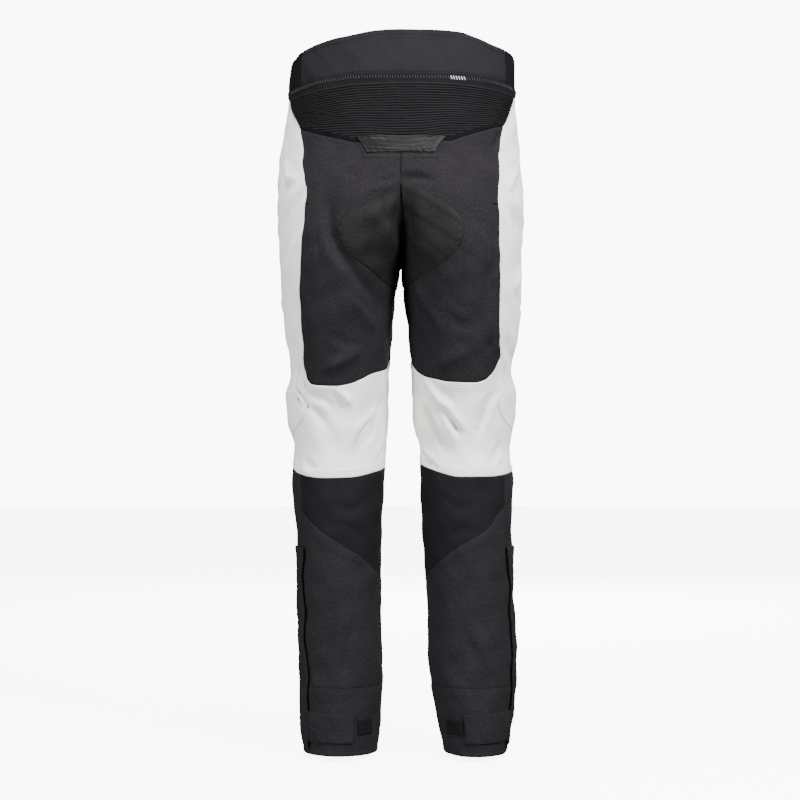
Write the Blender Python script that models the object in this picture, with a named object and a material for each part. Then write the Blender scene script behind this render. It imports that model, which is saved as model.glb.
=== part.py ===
# Motorcycle trousers in their filled-out form, hollow, open at the waist and at both cuffs.
# The back of the garment faces -Y, the front faces +Y, and the waist is held at the origin.
# Tables are in millimetres and degrees. A turn of 0 is the inner side of a leg, 90 the back,
# 180 the outer side and 270 the front.
import itertools
import math
from bisect import bisect_right
from collections import namedtuple

import bmesh
import bpy
from mathutils import Vector
from mathutils.bvhtree import BVHTree

MM = 0.001

COLLECTION_NAME = "Motorcycle_Trousers"

# Cloth thicknesses and gaps
SHELL = 2.0
WAISTBAND_THICK = 2.6
RIB_CLOTH = 1.6
TAPE_THICK = 1.4
PATCH_THICK = 1.2
FLAP_THICK = 1.6
TAB_THICK = 1.8
SEAM_GAP = 0.3
SEAT_GAP = 0.6
SEAT_SLACK = 0.2
SEAT_REACH = 15.0
SEAT_PASSES = 3
SEAT_SAMPLES = 5
TURN_STEP = 0.6
HEIGHT_STEP = 2.0
TAPE_LIFT = 1.5
TAPE_FLARE = 2.0
CENTRE_GAP = SEAM_GAP / 2
BAND_TO_TAPE = 1.2
TAPE_TO_RIBS = 0.5

# Ribbed stretch panel
RIB_COUNT = 15
RIB_HEIGHT = 1.3
RIB_PANEL_HEM = 7.0

# Trapezoid patch, fly placket and seat patches
BACK_PATCH_TOP = -120.5
BACK_PATCH_FOOT = -145
BACK_PATCH_EDGE = ((BACK_PATCH_FOOT, 104), (BACK_PATCH_TOP, 111.5))
PLACKET_FOOT = -215
PLACKET_START = 3.0
PLACKET_SWEEP = 18
SEAT_PATCH_TOP = {"left": -195, "right": -192.5}
SEAT_PATCH_FOOT = {"left": -335, "right": -332}
SEAT_PATCH_INSET = 2.5
ROUND_END_SHARES = [0, 0.02, 0.06, 0.13, 0.22, 0.35, 0.5, 0.65, 0.78, 0.88, 0.95, 1]

# Levels of the garment
YOKE_LEVEL = -128
CROTCH_LEVEL = -305
HEM_SEAM_LEVEL = -922
HEM_LEVEL = -1023
WAIST_TOP_LIMIT = 80
HEM_LIMIT = -1060
HALVINGS = 26
CROTCH_EASE = 1.35

# Storm flap over the leg zip: levels, turns past the seam at its free edge and its sewn edge,
# and the soft wave of the free edge
FLAP_TOP = -716
FLAP_FOOT = -1012
FLAP_OVERLAP = 3.0
FLAP_REACH = 22.0
FLAP_WAVE = 1.6
FLAP_WAVE_LENGTH = 14.0

# Cuff tab and loop patch: levels, and turns at their ends
TAB_TOP = -959
TAB_FOOT = -1003
TAB_TIP = {"left": 70, "right": 73}
TAB_CLEARANCE = 1.0
LOOP_TOP = -969
LOOP_FOOT = -992
LOOP_TURNS = {"left": (38, 64), "right": (40, 67)}

# Press stud on the front waistband
STUD_RADIUS = 7.5
STUD_THICK = 2.4
STUD_TURN = 262
STUD_SIDES = 20

SIDES = ("left", "right")
SIGN = {"left": -1, "right": 1}

Finish = namedtuple("Finish", "red green blue roughness")
BLACK_SHELL = Finish(52, 51, 55, 0.75)
WAIST_CLOTH = Finish(58, 56, 60, 0.7)
STRETCH = Finish(40, 39, 42, 0.8)
GRIP = Finish(47, 47, 46, 0.6)
SHEEN_PATCH = Finish(70, 68, 71, 0.5)
LIGHT_SHELL = Finish(214, 214, 213, 0.7)
ELASTIC = Finish(36, 35, 38, 0.8)
TAPE = Finish(30, 30, 33, 0.6)
STUD_METAL = Finish(60, 60, 62, 0.35)

# Half widths and depths of the form at each height: the outer and inner sides of one leg from
# the centre plane, and the back and front from the plane through the sides.
Section = namedtuple("Section", "height outer inner back front")
SECTIONS = {
    "left": (
        Section(60, 159, -159, 102, 106),
        Section(0, 164, -164, 110, 112),
        Section(-50, 168, -168, 116, 116),
        Section(-100, 175, -175, 125, 118),
        Section(-128, 179, -179, 131, 119),
        Section(-170, 183, -122, 140, 119),
        Section(-215, 184, -68, 145, 117),
        Section(-260, 183, -28, 143, 114),
        Section(-305, 180, 0, 136, 111),
        Section(-350, 178, 9, 124, 108),
        Section(-400, 173, 13, 112, 104),
        Section(-460, 165, 18.5, 94, 99),
        Section(-495, 174, 19, 84, 98),
        Section(-530, 171, 19.5, 77, 96),
        Section(-575, 160, 22.5, 74, 88),
        Section(-620, 163, 24.5, 80, 77),
        Section(-700, 156, 29, 90, 66),
        Section(-800, 153, 30, 86, 60),
        Section(-890, 152, 27.5, 79, 58),
        Section(-970, 150, 30, 74, 60),
        Section(-1030, 146, 35, 70, 62),
    ),
    "right": (
        Section(60, 166, -166, 102, 106),
        Section(0, 169, -169, 110, 112),
        Section(-50, 170, -170, 116, 116),
        Section(-100, 175, -175, 125, 118),
        Section(-128, 177, -177, 131, 119),
        Section(-170, 180, -122, 140, 119),
        Section(-215, 183, -68, 145, 117),
        Section(-260, 181, -28, 143, 114),
        Section(-305, 179, 0, 136, 111),
        Section(-350, 180, 4.5, 124, 108),
        Section(-400, 176, 11, 112, 104),
        Section(-460, 166, 16, 94, 99),
        Section(-495, 173, 17, 84, 98),
        Section(-530, 171, 18, 77, 96),
        Section(-575, 163, 28, 74, 88),
        Section(-620, 168, 29, 80, 77),
        Section(-700, 165, 32, 90, 66),
        Section(-800, 166, 39, 86, 62),
        Section(-890, 171, 41, 81, 62),
        Section(-970, 165, 53, 78, 66),
        Section(-1030, 158, 65, 75, 68),
    ),
}

# How square the front is at each height: 1 is an ellipse, less is flatter.
FRONT_SQUARENESS = ((-330, 1.0), (-215, 0.72), (-100, 0.85), (60, 0.9))

# Seam lines that run round the body: (turn, height) stations.
WAIST_TOP = {
    "left": ((90, 37), (102, 36), (117, 30), (134, 24), (149, 16), (170, 4), (185, 1), (270, -6)),
    "right": ((90, 37), (101, 37), (119, 36), (131, 29), (145, 20.5), (166, 14), (185, 8), (270, -6)),
}
BAND_BOTTOM = {
    "left": ((90, -29), (111, -28), (130, -31), (147, -36), (172, -43), (178, -46), (270, -46)),
    "right": ((90, -29), (115, -28), (137, -30), (160, -34), (174, -40), (181, -46), (270, -46)),
}
RIB_TOP = {
    "left": ((90, -41), (111, -42), (129, -46), (146, -51), (164, -53), (172, -52), (178, -46), (270, -46)),
    "right": ((90, -41), (115, -41), (137, -44), (160, -48), (174, -50), (181, -46), (270, -46)),
}
YOKE = {
    "left": ((90, -126), (100, -127), (111, -129), (120, -123), (132, -115), (146, -106), (270, -106)),
    "right": ((90, -126), (100, -127), (112, -127), (120, -120), (131, -110), (148, -100), (270, -100)),
}
KNEE_TOP = {
    "left": ((0, -441), (13, -453), (45, -461), (59, -468), (76, -477), (92, -480), (119, -478),
             (128, -470), (132, -459), (134, -451), (143, -448), (270, -440), (360, -441)),
    "right": ((0, -441), (13, -449), (39, -464), (58, -470), (74, -474), (101, -475), (114, -471),
              (127, -459), (132, -446), (134, -441), (143, -440), (270, -438), (360, -441)),
}
KNEE_BOTTOM = {
    "left": ((0, -600), (38, -606), (74, -613), (111, -614), (149, -608), (180, -601), (270, -604), (360, -600)),
    "right": ((0, -594), (37, -601), (80, -612), (118, -612), (150, -609), (180, -606), (270, -602), (360, -594)),
}
CALF_EDGE = {
    "left": ((0, -776), (23, -759), (56, -730), (96, -703), (130, -676), (143, -664), (250, -690), (360, -776)),
    "right": ((0, -772), (32, -749), (76, -714), (117, -686), (140, -659), (250, -686), (360, -772)),
}

# Turns that the panels on both sides of a curved seam share, out to the thigh panel's rounded
# corner and on to the knee cup's seam, as fractions of each panel's width.
SHARED_TURNS = (0, 15, 30, 45, 60, 76, 92, 106, 119, 125, 130)
THIGH_CORNER = 134
CUP_START = 143
LEG_SEAM_START = 142
CUP_FOOT = 191.6
CUP_CELLS = 10
TO_CORNER = [turn / THIGH_CORNER for turn in SHARED_TURNS] + [1]
TO_CUP = [turn / CUP_START for turn in SHARED_TURNS + (THIGH_CORNER,)] + [1]
SIDE_SHARES = [0, 0.107, 0.3, 0.53, 0.77, 1]
KNEE_FOOT_TURNS = [share * CUP_FOOT for share in TO_CUP] + [
    CUP_FOOT + (360 - CUP_FOOT) * cell / CUP_CELLS for cell in range(1, CUP_CELLS + 1)
]
CALF_SHARES = [turn / LEG_SEAM_START for turn in KNEE_FOOT_TURNS if turn < LEG_SEAM_START - 1] + [1]
LOWER_FRONT_SHARES = [0] + [
    (turn - LEG_SEAM_START) / (360 - LEG_SEAM_START) for turn in KNEE_FOOT_TURNS if turn > LEG_SEAM_START + 1
]

# Seam lines that run up and down: (height, turn) stations.
OUTER_BACK_SEAM = {
    "left": ((-485, 134), (-446, 134), (-420, 131), (-250, 128), (-204, 130), (-159, 139), (-104, 147),
             (-74, 160), (-43, 172)),
    "right": ((-485, 134), (-438, 134), (-415, 129), (-377, 126), (-226, 131), (-158, 141), (-104, 148),
              (-74, 161), (-40, 174)),
}
OUTER_FRONT_SEAM = dict.fromkeys(SIDES, ((-470, 218), (-300, 226), (-46, 214)))
KNEE_CUP_SEAM = {
    "left": ((-640, 191.6), (-590, 191.6), (-568, 187), (-556, 172), (-545, 150), (-536, 136), (-524, 127),
             (-508, 122), (-500, 124), (-491, 132), (-482, 143), (-440, 143)),
    "right": ((-640, 191.6), (-588, 191.6), (-562, 187), (-548, 172), (-540, 154), (-534, 143), (-522, 133),
              (-509, 129), (-500, 132), (-490, 139), (-478, 143), (-430, 143)),
}
OUTER_LEG_SEAM = {
    "left": ((-1023, 145), (-942, 143), (-850, 147), (-760, 150), (-700, 146), (-640, 142), (-590, 142)),
    "right": ((-1023, 158), (-944, 157), (-884, 156), (-796, 158), (-720, 153), (-640, 142), (-590, 142)),
}
ELASTIC_BACK_END = {"left": ((-50, 153), (30, 153)), "right": ((-50, 156), (30, 156))}
ELASTIC_FRONT_END = dict.fromkeys(SIDES, ((-50, 212), (30, 212)))
SEAT_PATCH_EDGE = {
    "left": ((-337, 14), (-330, 34), (-320, 48), (-300, 70), (-288, 83), (-272, 92), (-255, 97), (-242, 97),
             (-230, 95), (-220, 91), (-211, 86), (-203, 82), (-194, 78)),
    "right": ((-334, 14), (-328, 34), (-319, 46), (-306, 65), (-294, 78), (-278, 90), (-259, 97), (-247, 99),
              (-234, 98), (-224, 94), (-210, 87), (-198, 82), (-191, 79)),
}

# The largest folds as soft ridges (height above 0) and troughs: (turn, height) points of each
# route, half width and height, all in the form's own sizes.
Fold = namedtuple("Fold", "side width rise route")
FOLDS = (
    Fold("left", 15, -4.5, ((112, -216), (104, -257), (93, -284), (76, -309), (57, -339), (44, -359))),
    Fold("left", 20, 3.0, ((73, -235), (53, -269), (40, -290))),
    Fold("left", 18, 3.0, ((76, -355), (58, -384), (41, -414))),
    Fold("left", 20, -3.0, ((104, -420), (76, -400), (50, -396))),
    Fold("right", 18, 3.0, ((99, -426), (77, -442), (55, -455))),
    Fold("right", 16, -3.5, ((118, -300), (112, -345), (104, -380))),
    Fold("right", 15, 3.0, ((45, -357), (41, -325))),
    Fold("left", 15, -4.0, ((121, -490), (106, -499), (86, -516))),
    Fold("left", 14, -3.5, ((118, -512), (106, -530), (94, -560))),
    Fold("left", 17, -4.5, ((30, -510), (52, -544), (68, -580))),
    Fold("left", 18, 3.5, ((60, -490), (70, -520), (84, -560))),
    Fold("right", 17, -4.5, ((21, -490), (45, -524), (62, -575))),
    Fold("right", 15, -4.0, ((124, -488), (112, -512), (98, -570))),
    Fold("right", 17, 4.0, ((42, -480), (64, -515), (80, -550))),
    Fold("right", 14, -3.0, ((62, -500), (78, -535), (86, -560))),
    Fold("left", 22, -3.0, ((95, -790), (104, -850), (118, -895))),
    Fold("right", 22, -3.0, ((80, -780), (92, -840), (70, -900))),
    Fold("left", 20, -4.0, ((250, -470), (280, -480), (310, -476))),
    Fold("right", 20, -4.0, ((248, -474), (278, -484), (312, -474))),
    Fold("left", 18, -3.5, ((300, -250), (282, -300), (262, -330))),
    Fold("right", 18, -3.5, ((300, -250), (280, -296), (264, -336))),
    Fold("left", 22, -3.5, ((230, -640), (265, -655), (310, -648))),
    Fold("right", 22, -3.5, ((232, -634), (268, -650), (308, -646))),
)


class Curve:
    """A smooth line through stations that never swings past them."""

    def __init__(self, stations):
        stations = sorted(stations)
        self.places = [place for place, _ in stations]
        self.values = [value for _, value in stations]
        steps = [
            (self.values[i + 1] - self.values[i]) / (self.places[i + 1] - self.places[i])
            for i in range(len(stations) - 1)
        ]
        inner = [
            0.0 if before * after <= 0 else 2 * before * after / (before + after)
            for before, after in zip(steps, steps[1:])
        ]
        self.slopes = [steps[0]] + inner + [steps[-1]]

    def __call__(self, place):
        if place <= self.places[0]:
            return self.values[0]
        if place >= self.places[-1]:
            return self.values[-1]
        k = bisect_right(self.places, place) - 1
        span = self.places[k + 1] - self.places[k]
        s = (place - self.places[k]) / span
        rest = 1 - s
        return (
            self.values[k] * rest * rest * (1 + 2 * s)
            + self.values[k + 1] * s * s * (3 - 2 * s)
            + span * s * rest * (self.slopes[k] * rest - self.slopes[k + 1] * s)
        )


def side_curves(table):
    """A function of (side, place) for a table with one row of stations a side."""
    curves = {side: Curve(table[side]) for side in SIDES}
    return lambda side, place: curves[side](place)


FORM = {
    (side, column): Curve([(row.height, getattr(row, column)) for row in SECTIONS[side]])
    for side in SIDES
    for column in ("outer", "inner", "back", "front")
}
SQUARENESS = Curve(FRONT_SQUARENESS)
waist_top = side_curves(WAIST_TOP)
band_bottom = side_curves(BAND_BOTTOM)
rib_top = side_curves(RIB_TOP)
yoke = side_curves(YOKE)
knee_top = side_curves(KNEE_TOP)
knee_bottom = side_curves(KNEE_BOTTOM)
calf_edge = side_curves(CALF_EDGE)
outer_back_seam = side_curves(OUTER_BACK_SEAM)
outer_front_seam = side_curves(OUTER_FRONT_SEAM)
knee_cup_seam = side_curves(KNEE_CUP_SEAM)
outer_leg_seam = side_curves(OUTER_LEG_SEAM)
elastic_back_end = side_curves(ELASTIC_BACK_END)
elastic_front_end = side_curves(ELASTIC_FRONT_END)
seat_patch_edge = side_curves(SEAT_PATCH_EDGE)


def level(height):
    """A row line at one height all round."""
    return lambda side, turn: height


def at_turn(turn):
    """A column line at one turn all the way down."""
    return lambda side, height: turn


def below(line, drop):
    """A row line that runs a fixed drop under another."""
    return lambda side, turn: line(side, turn) - drop


def ellipse(side, height):
    """Centre and half axes of one leg's section: (centre x, half width, centre y, half depth)."""
    outer = FORM[side, "outer"](height)
    inner = -outer if height >= YOKE_LEVEL else FORM[side, "inner"](height)
    back = FORM[side, "back"](height)
    front = FORM[side, "front"](height)
    return (outer + inner) / 2, (outer - inner) / 2, (front - back) / 2, (front + back) / 2


def rise_turn(side, height):
    """Turn at which one leg's section meets the centre plane at the back; 0 below the crotch."""
    if height <= CROTCH_LEVEL:
        return 0.0
    centre, half_width, _, _ = ellipse(side, height)
    return math.degrees(math.acos(max(-1.0, min(1.0, centre / half_width))))


def front_rise_turn(side, height):
    """The same at the front."""
    return 360 - rise_turn(side, height)


def fold_height(side, turn, height, half_width, half_depth):
    """Sum of the folds' heights at one place of the form."""
    arc = math.radians(1) * (half_width + half_depth) / 2
    total = 0.0
    for fold in FOLDS:
        if fold.side != side:
            continue
        nearest = 1e9
        for (turn_a, high_a), (turn_b, high_b) in zip(fold.route, fold.route[1:]):
            along = Vector(((turn_b - turn_a) * arc, high_b - high_a))
            reach = Vector(((turn - turn_a) * arc, height - high_a))
            share = max(0.0, min(1.0, reach.dot(along) / along.length_squared))
            nearest = min(nearest, (reach - share * along).length_squared)
        total += fold.rise * math.exp(-nearest / fold.width ** 2)
    return total


def form_point(side, turn, height):
    """Point of the folded form, in millimetres, on the side's own half."""
    centre_x, half_width, centre_y, half_depth = ellipse(side, height)
    angle = math.radians(turn)
    across = -math.cos(angle)
    deep = -math.sin(angle)
    if deep > 0:
        deep = deep ** SQUARENESS(height)
    outward = Vector((across / half_width, deep / half_depth)).normalized()
    lift = fold_height(side, turn, height, half_width, half_depth)
    x = centre_x + half_width * across + outward.x * lift
    y = centre_y + half_depth * deep + outward.y * lift
    return Vector((SIGN[side] * x, y, height))


def cloth(side, turn, height):
    """Outer point of the cloth and its outward normal."""
    point = form_point(side, turn, height)
    round_way = form_point(side, turn + TURN_STEP, height) - form_point(side, turn - TURN_STEP, height)
    up_way = form_point(side, turn, height + HEIGHT_STEP) - form_point(side, turn, height - HEIGHT_STEP)
    return point, round_way.cross(up_way).normalized() * SIGN[side]


def shares(cells, ease=1.0):
    """Even fractions from 0 to 1, or closer together towards 1 where ease is more than 1."""
    return [1 - (1 - i / cells) ** ease for i in range(cells + 1)]


def steps_between(lines):
    """(first line, second line, fraction) of each row or column. Lines and counts take turns."""
    steps = []
    for first, cells, second in zip(lines[0::2], lines[1::2], lines[2::2]):
        fractions = cells if isinstance(cells, list) else shares(cells)
        skip = 1 if steps else 0
        steps += [(first, second, fraction) for fraction in fractions[skip:]]
    return steps


def crossing(side, row, column):
    """Turn and height where a row meets a column, found by halving."""
    upper, lower, down = row
    first, last, along = column
    high, low = WAIST_TOP_LIMIT, HEM_LIMIT
    for _ in range(HALVINGS):
        height = (high + low) / 2
        turn = first(side, height) * (1 - along) + last(side, height) * along
        if height > upper(side, turn) * (1 - down) + lower(side, turn) * down:
            high = height
        else:
            low = height
    return turn, height


def half_grid(side, rows, columns):
    """Cloth points of one panel that stays on its own side of the centre plane."""
    grid = []
    for row in steps_between(rows):
        line = []
        for column in steps_between(columns):
            point, normal = cloth(side, *crossing(side, row, column))
            if point.x * SIGN[side] < CENTRE_GAP:
                point.x = CENTRE_GAP * SIGN[side]
            line.append((point, normal))
        grid.append(line)
    return grid


def whole_grid(rows, columns):
    """Cloth points of one panel that crosses the centre plane; columns run outward."""
    left = half_grid("left", rows, columns)
    right = half_grid("right", rows, columns)
    grid = []
    for left_line, right_line in zip(left, right):
        middle = right_line[0][0].copy()
        middle.x = 0.0
        grid.append(list(reversed(left_line[1:])) + [(middle, right_line[0][1])] + right_line[1:])
    return grid


def drawn_in(grid):
    """The grid with its border moved in by half a seam gap, square to the border in the cloth."""
    rows = len(grid)
    columns = len(grid[0])
    points = [[point for point, _ in line] for line in grid]
    moves = {}

    def shift(row, column, inside, before, after):
        tangent = (after - before).normalized()
        inward = inside - points[row][column]
        inward = (inward - tangent * inward.dot(tangent)).normalized()
        moves.setdefault((row, column), Vector()).xyz += inward * (SEAM_GAP / 2)

    for row in range(rows):
        low, high = max(row - 1, 0), min(row + 1, rows - 1)
        shift(row, 0, points[row][1], points[low][0], points[high][0])
        shift(row, columns - 1, points[row][-2], points[low][-1], points[high][-1])
    for column in range(columns):
        low, high = max(column - 1, 0), min(column + 1, columns - 1)
        shift(0, column, points[1][column], points[0][low], points[0][high])
        shift(rows - 1, column, points[-2][column], points[-1][low], points[-1][high])
    return [
        [(points[r][c] + moves.get((r, c), Vector()), grid[r][c][1]) for c in range(columns)]
        for r in range(rows)
    ]


def seated(grid, panels):
    """The grid's points moved onto the outer faces of the finished panels under it.

    A cell whose middle would cut into a facet's ridge has its corners raised until it clears."""
    trees = [
        BVHTree.FromPolygons(
            [vertex.co / MM for vertex in panel.data.vertices],
            [face.vertices for face in panel.data.polygons],
        )
        for panel in panels
    ]

    def height_over(point, normal):
        hits = [tree.ray_cast(point + normal * SEAT_REACH, -normal, 2 * SEAT_REACH) for tree in trees]
        return max(((hit[0] - point).dot(normal) for hit in hits if hit[0] is not None), default=0.0)

    moved = [[[point + normal * height_over(point, normal), normal] for point, normal in line] for line in grid]
    marks = [i / (SEAT_SAMPLES - 1) for i in range(SEAT_SAMPLES)]
    for _ in range(SEAT_PASSES):
        for upper, lower in zip(moved, moved[1:]):
            for corners in zip(upper, upper[1:], lower, lower[1:]):
                rise = 0.0
                for s, t in itertools.product(marks, repeat=2):
                    weights = ((1 - s) * (1 - t), s * (1 - t), (1 - s) * t, s * t)
                    point = sum((corner[0] * w for corner, w in zip(corners, weights)), Vector())
                    normal = sum((corner[1] * w for corner, w in zip(corners, weights)), Vector()).normalized()
                    rise = max(rise, height_over(point, normal) - SEAT_SLACK)
                if rise > 0:
                    for corner in corners:
                        corner[0] = corner[0] + corner[1] * rise
    return moved


def material_for(name, finish):
    """A Principled material; the finish's colour is in display values from 0 to 255."""
    material = bpy.data.materials.new(name)
    material.use_nodes = True
    shader = material.node_tree.nodes["Principled BSDF"]
    channels = [((value / 255 + 0.055) / 1.055) ** 2.4 for value in finish[:3]]
    shader.inputs["Base Color"].default_value = (*channels, 1.0)
    shader.inputs["Roughness"].default_value = finish.roughness
    shader.inputs["Metallic"].default_value = 0.0
    return material


def add_object(name, mesh, finish):
    """Link a finished mesh into the garment's collection."""
    mesh.materials.append(material_for(name, finish))
    piece = bpy.data.objects.new(name, mesh)
    bpy.data.collections[COLLECTION_NAME].objects.link(piece)
    return piece


def wall(name, finish, grid, thickness=SHELL, lift=0.0, relief=None):
    """A closed wall of cloth: the lofted outer face and the plain face inside it, joined at the rim.

    relief(row, column) raises the outer points only."""
    grid = drawn_in(grid)
    rows = len(grid)
    columns = len(grid[0])
    shell = bmesh.new()
    places = [point.x for line in grid for point, _ in line]
    half = 1 if min(places) > 0 else -1 if max(places) < 0 else 0

    def sheet(depth, raised):
        made = []
        for r, line in enumerate(grid):
            row_verts = []
            for c, (point, normal) in enumerate(line):
                rise = relief(r, c) if raised and relief else 0.0
                place = point + normal * (lift + rise - depth)
                if half and place.x * half < CENTRE_GAP:
                    place.x = CENTRE_GAP * half
                row_verts.append(shell.verts.new(place * MM))
            made.append(row_verts)
        return made

    outer = sheet(0.0, True)
    inner = sheet(thickness, False)
    for r in range(rows - 1):
        for c in range(columns - 1):
            shell.faces.new((outer[r][c], outer[r][c + 1], outer[r + 1][c + 1], outer[r + 1][c]))
            shell.faces.new((inner[r][c], inner[r + 1][c], inner[r + 1][c + 1], inner[r][c + 1]))
    for c in range(columns - 1):
        shell.faces.new((outer[0][c + 1], outer[0][c], inner[0][c], inner[0][c + 1]))
        shell.faces.new((outer[-1][c], outer[-1][c + 1], inner[-1][c + 1], inner[-1][c]))
    for r in range(rows - 1):
        shell.faces.new((outer[r][0], outer[r + 1][0], inner[r + 1][0], inner[r][0]))
        shell.faces.new((outer[r + 1][-1], outer[r][-1], inner[r][-1], inner[r + 1][-1]))
    bmesh.ops.recalc_face_normals(shell, faces=shell.faces)
    bmesh.ops.triangulate(shell, faces=shell.faces, quad_method="SHORT_EDGE")
    mesh = bpy.data.meshes.new(name)
    shell.to_mesh(mesh)
    shell.free()
    return add_object(name, mesh, finish)


def lay_on(name, finish, grid, thickness, panel_names):
    """A wall that lies on finished panels, a small gap off them."""
    panels = [bpy.data.objects[panel] for panel in panel_names]
    wall(name, finish, seated(grid, panels), thickness, SEAT_GAP + thickness)


def node_name(piece, side):
    """Name of one side's node."""
    return f"{piece}_{side.capitalize()}"


def waistband():
    """Tall back band, elastic side sections and the front band in two halves."""
    rows = (waist_top, 4, band_bottom)
    back = whole_grid(rows, (at_turn(90), 7, elastic_back_end))
    wall("Waistband_Back", WAIST_CLOTH, back, WAISTBAND_THICK)
    for side in SIDES:
        elastic = half_grid(side, rows, (elastic_back_end, 5, elastic_front_end))
        wall(node_name("Waistband_Elastic", side), ELASTIC, elastic, WAISTBAND_THICK)
        front = half_grid(side, rows, (elastic_front_end, 6, at_turn(270)))
        wall(node_name("Waistband_Front", side), WAIST_CLOTH, front, WAISTBAND_THICK)


def press_stud():
    """Round press stud on the left end of the front band."""
    height = (waist_top("left", STUD_TURN) + band_bottom("left", STUD_TURN)) / 2
    point, normal = cloth("left", STUD_TURN, height)
    disc = bmesh.new()
    bmesh.ops.create_cone(
        disc, cap_ends=True, segments=STUD_SIDES, radius1=STUD_RADIUS * MM,
        radius2=STUD_RADIUS * 0.8 * MM, depth=STUD_THICK * MM,
    )
    mesh = bpy.data.meshes.new("Waist_Stud")
    disc.to_mesh(mesh)
    disc.free()
    stud = add_object("Waist_Stud", mesh, STUD_METAL)
    stud.rotation_mode = "QUATERNION"
    stud.rotation_quaternion = normal.to_track_quat("Z", "Y")
    stud.location = (point + normal * (STUD_THICK / 2 + SEAT_GAP)) * MM


def connection_zip():
    """Tape of the connection zip along the lower edge of the back band, its ends standing out."""
    rows = (below(band_bottom, BAND_TO_TAPE), 2, below(rib_top, -TAPE_TO_RIBS))
    grid = whole_grid(rows, (at_turn(90), 9, outer_back_seam))
    ends = (0, len(grid[0]) - 1)

    def flare(_, column):
        return TAPE_FLARE if column in ends else 0.0

    wall("Connection_Zip", TAPE, grid, TAPE_THICK + TAPE_LIFT, TAPE_LIFT, flare)


def rib_panel():
    """Stretch panel with horizontal ribs raised on its outer face."""
    rib_rows = 2 * RIB_COUNT
    flat_foot = below(yoke, -RIB_PANEL_HEM)
    grid = whole_grid((rib_top, rib_rows, flat_foot, 2, yoke), (at_turn(90), TO_CORNER, outer_back_seam))
    last = len(grid[0]) - 1

    def rib(row, column):
        if column in (0, last) or row > rib_rows:
            return 0.0
        return RIB_HEIGHT if row % 2 else 0.0

    wall("Rib_Panel", STRETCH, grid, RIB_CLOTH, relief=rib)


def back_patch():
    """Trapezoid patch under the ribs."""
    edge = Curve(BACK_PATCH_EDGE)
    rows = (level(BACK_PATCH_TOP), 3, level(BACK_PATCH_FOOT))
    grid = whole_grid(rows, (at_turn(90), 4, lambda _, height: edge(height)))
    lay_on("Back_Patch", SHEEN_PATCH, grid, PATCH_THICK, ("Rib_Panel", "Back_Thigh_Left", "Back_Thigh_Right"))


def thigh_panels(side):
    """Back, outer side and front of the hip and thigh."""
    hip = shares(10, CROTCH_EASE)
    back_rows = (yoke, hip, level(CROTCH_LEVEL), 8, knee_top)
    back_columns = (rise_turn, TO_CORNER, outer_back_seam)
    wall(node_name("Back_Thigh", side), BLACK_SHELL, half_grid(side, back_rows, back_columns))
    side_rows = (rib_top, 7, yoke, hip, level(CROTCH_LEVEL), 8, knee_top)
    side_columns = (outer_back_seam, SIDE_SHARES, outer_front_seam)
    wall(node_name("Side_Panel", side), LIGHT_SHELL, half_grid(side, side_rows, side_columns))
    front_rows = (band_bottom, 4, yoke, hip, level(CROTCH_LEVEL), 8, knee_top)
    front_columns = (outer_front_seam, 9, front_rise_turn)
    wall(node_name("Front_Thigh", side), BLACK_SHELL, half_grid(side, front_rows, front_columns))


def seat_patch(side):
    """Grip patch on the seat, a rounded D beside the centre seam."""
    rows = (level(SEAT_PATCH_TOP[side]), ROUND_END_SHARES, level(SEAT_PATCH_FOOT[side]))

    def inner_edge(_, height):
        return rise_turn(side, height) + SEAT_PATCH_INSET

    grid = half_grid(side, rows, (inner_edge, 8, seat_patch_edge))
    lay_on(node_name("Seat_Patch", side), GRIP, grid, PATCH_THICK, (node_name("Back_Thigh", side),))


def fly_placket():
    """Plain placket over the front opening."""
    def free_edge(side, height):
        return front_rise_turn(side, height) - PLACKET_SWEEP

    rows = (below(band_bottom, PLACKET_START), 10, level(PLACKET_FOOT))
    grid = half_grid("left", rows, (free_edge, 2, front_rise_turn))
    lay_on("Fly_Placket", BLACK_SHELL, grid, PATCH_THICK, ("Front_Thigh_Left",))


def knee_panels(side):
    """Back knee panel and the cup that wraps round from the front."""
    rows = (knee_top, 10, knee_bottom)
    back = half_grid(side, rows, (at_turn(0), TO_CUP, knee_cup_seam))
    wall(node_name("Knee_Back", side), LIGHT_SHELL, back)
    cup = half_grid(side, rows, (knee_cup_seam, CUP_CELLS, at_turn(360)))
    wall(node_name("Knee_Cup", side), LIGHT_SHELL, cup)


def lower_leg_panels(side):
    """Calf, lower back, front and cuff band of one lower leg."""
    hem_seam = level(HEM_SEAM_LEVEL)
    hem = level(HEM_LEVEL)
    back_columns = (at_turn(0), CALF_SHARES, outer_leg_seam)
    calf = half_grid(side, (knee_bottom, 5, calf_edge), back_columns)
    wall(node_name("Calf", side), STRETCH, calf)
    lower = half_grid(side, (calf_edge, 8, hem_seam), back_columns)
    wall(node_name("Lower_Back", side), BLACK_SHELL, lower)
    cuff = half_grid(side, (hem_seam, 3, hem), back_columns)
    wall(node_name("Cuff_Back", side), BLACK_SHELL, cuff)
    front_rows = (knee_bottom, 5, calf_edge, 8, hem_seam, 3, hem)
    front_columns = (outer_leg_seam, LOWER_FRONT_SHARES, at_turn(360))
    wall(node_name("Lower_Front", side), BLACK_SHELL, half_grid(side, front_rows, front_columns))


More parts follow.
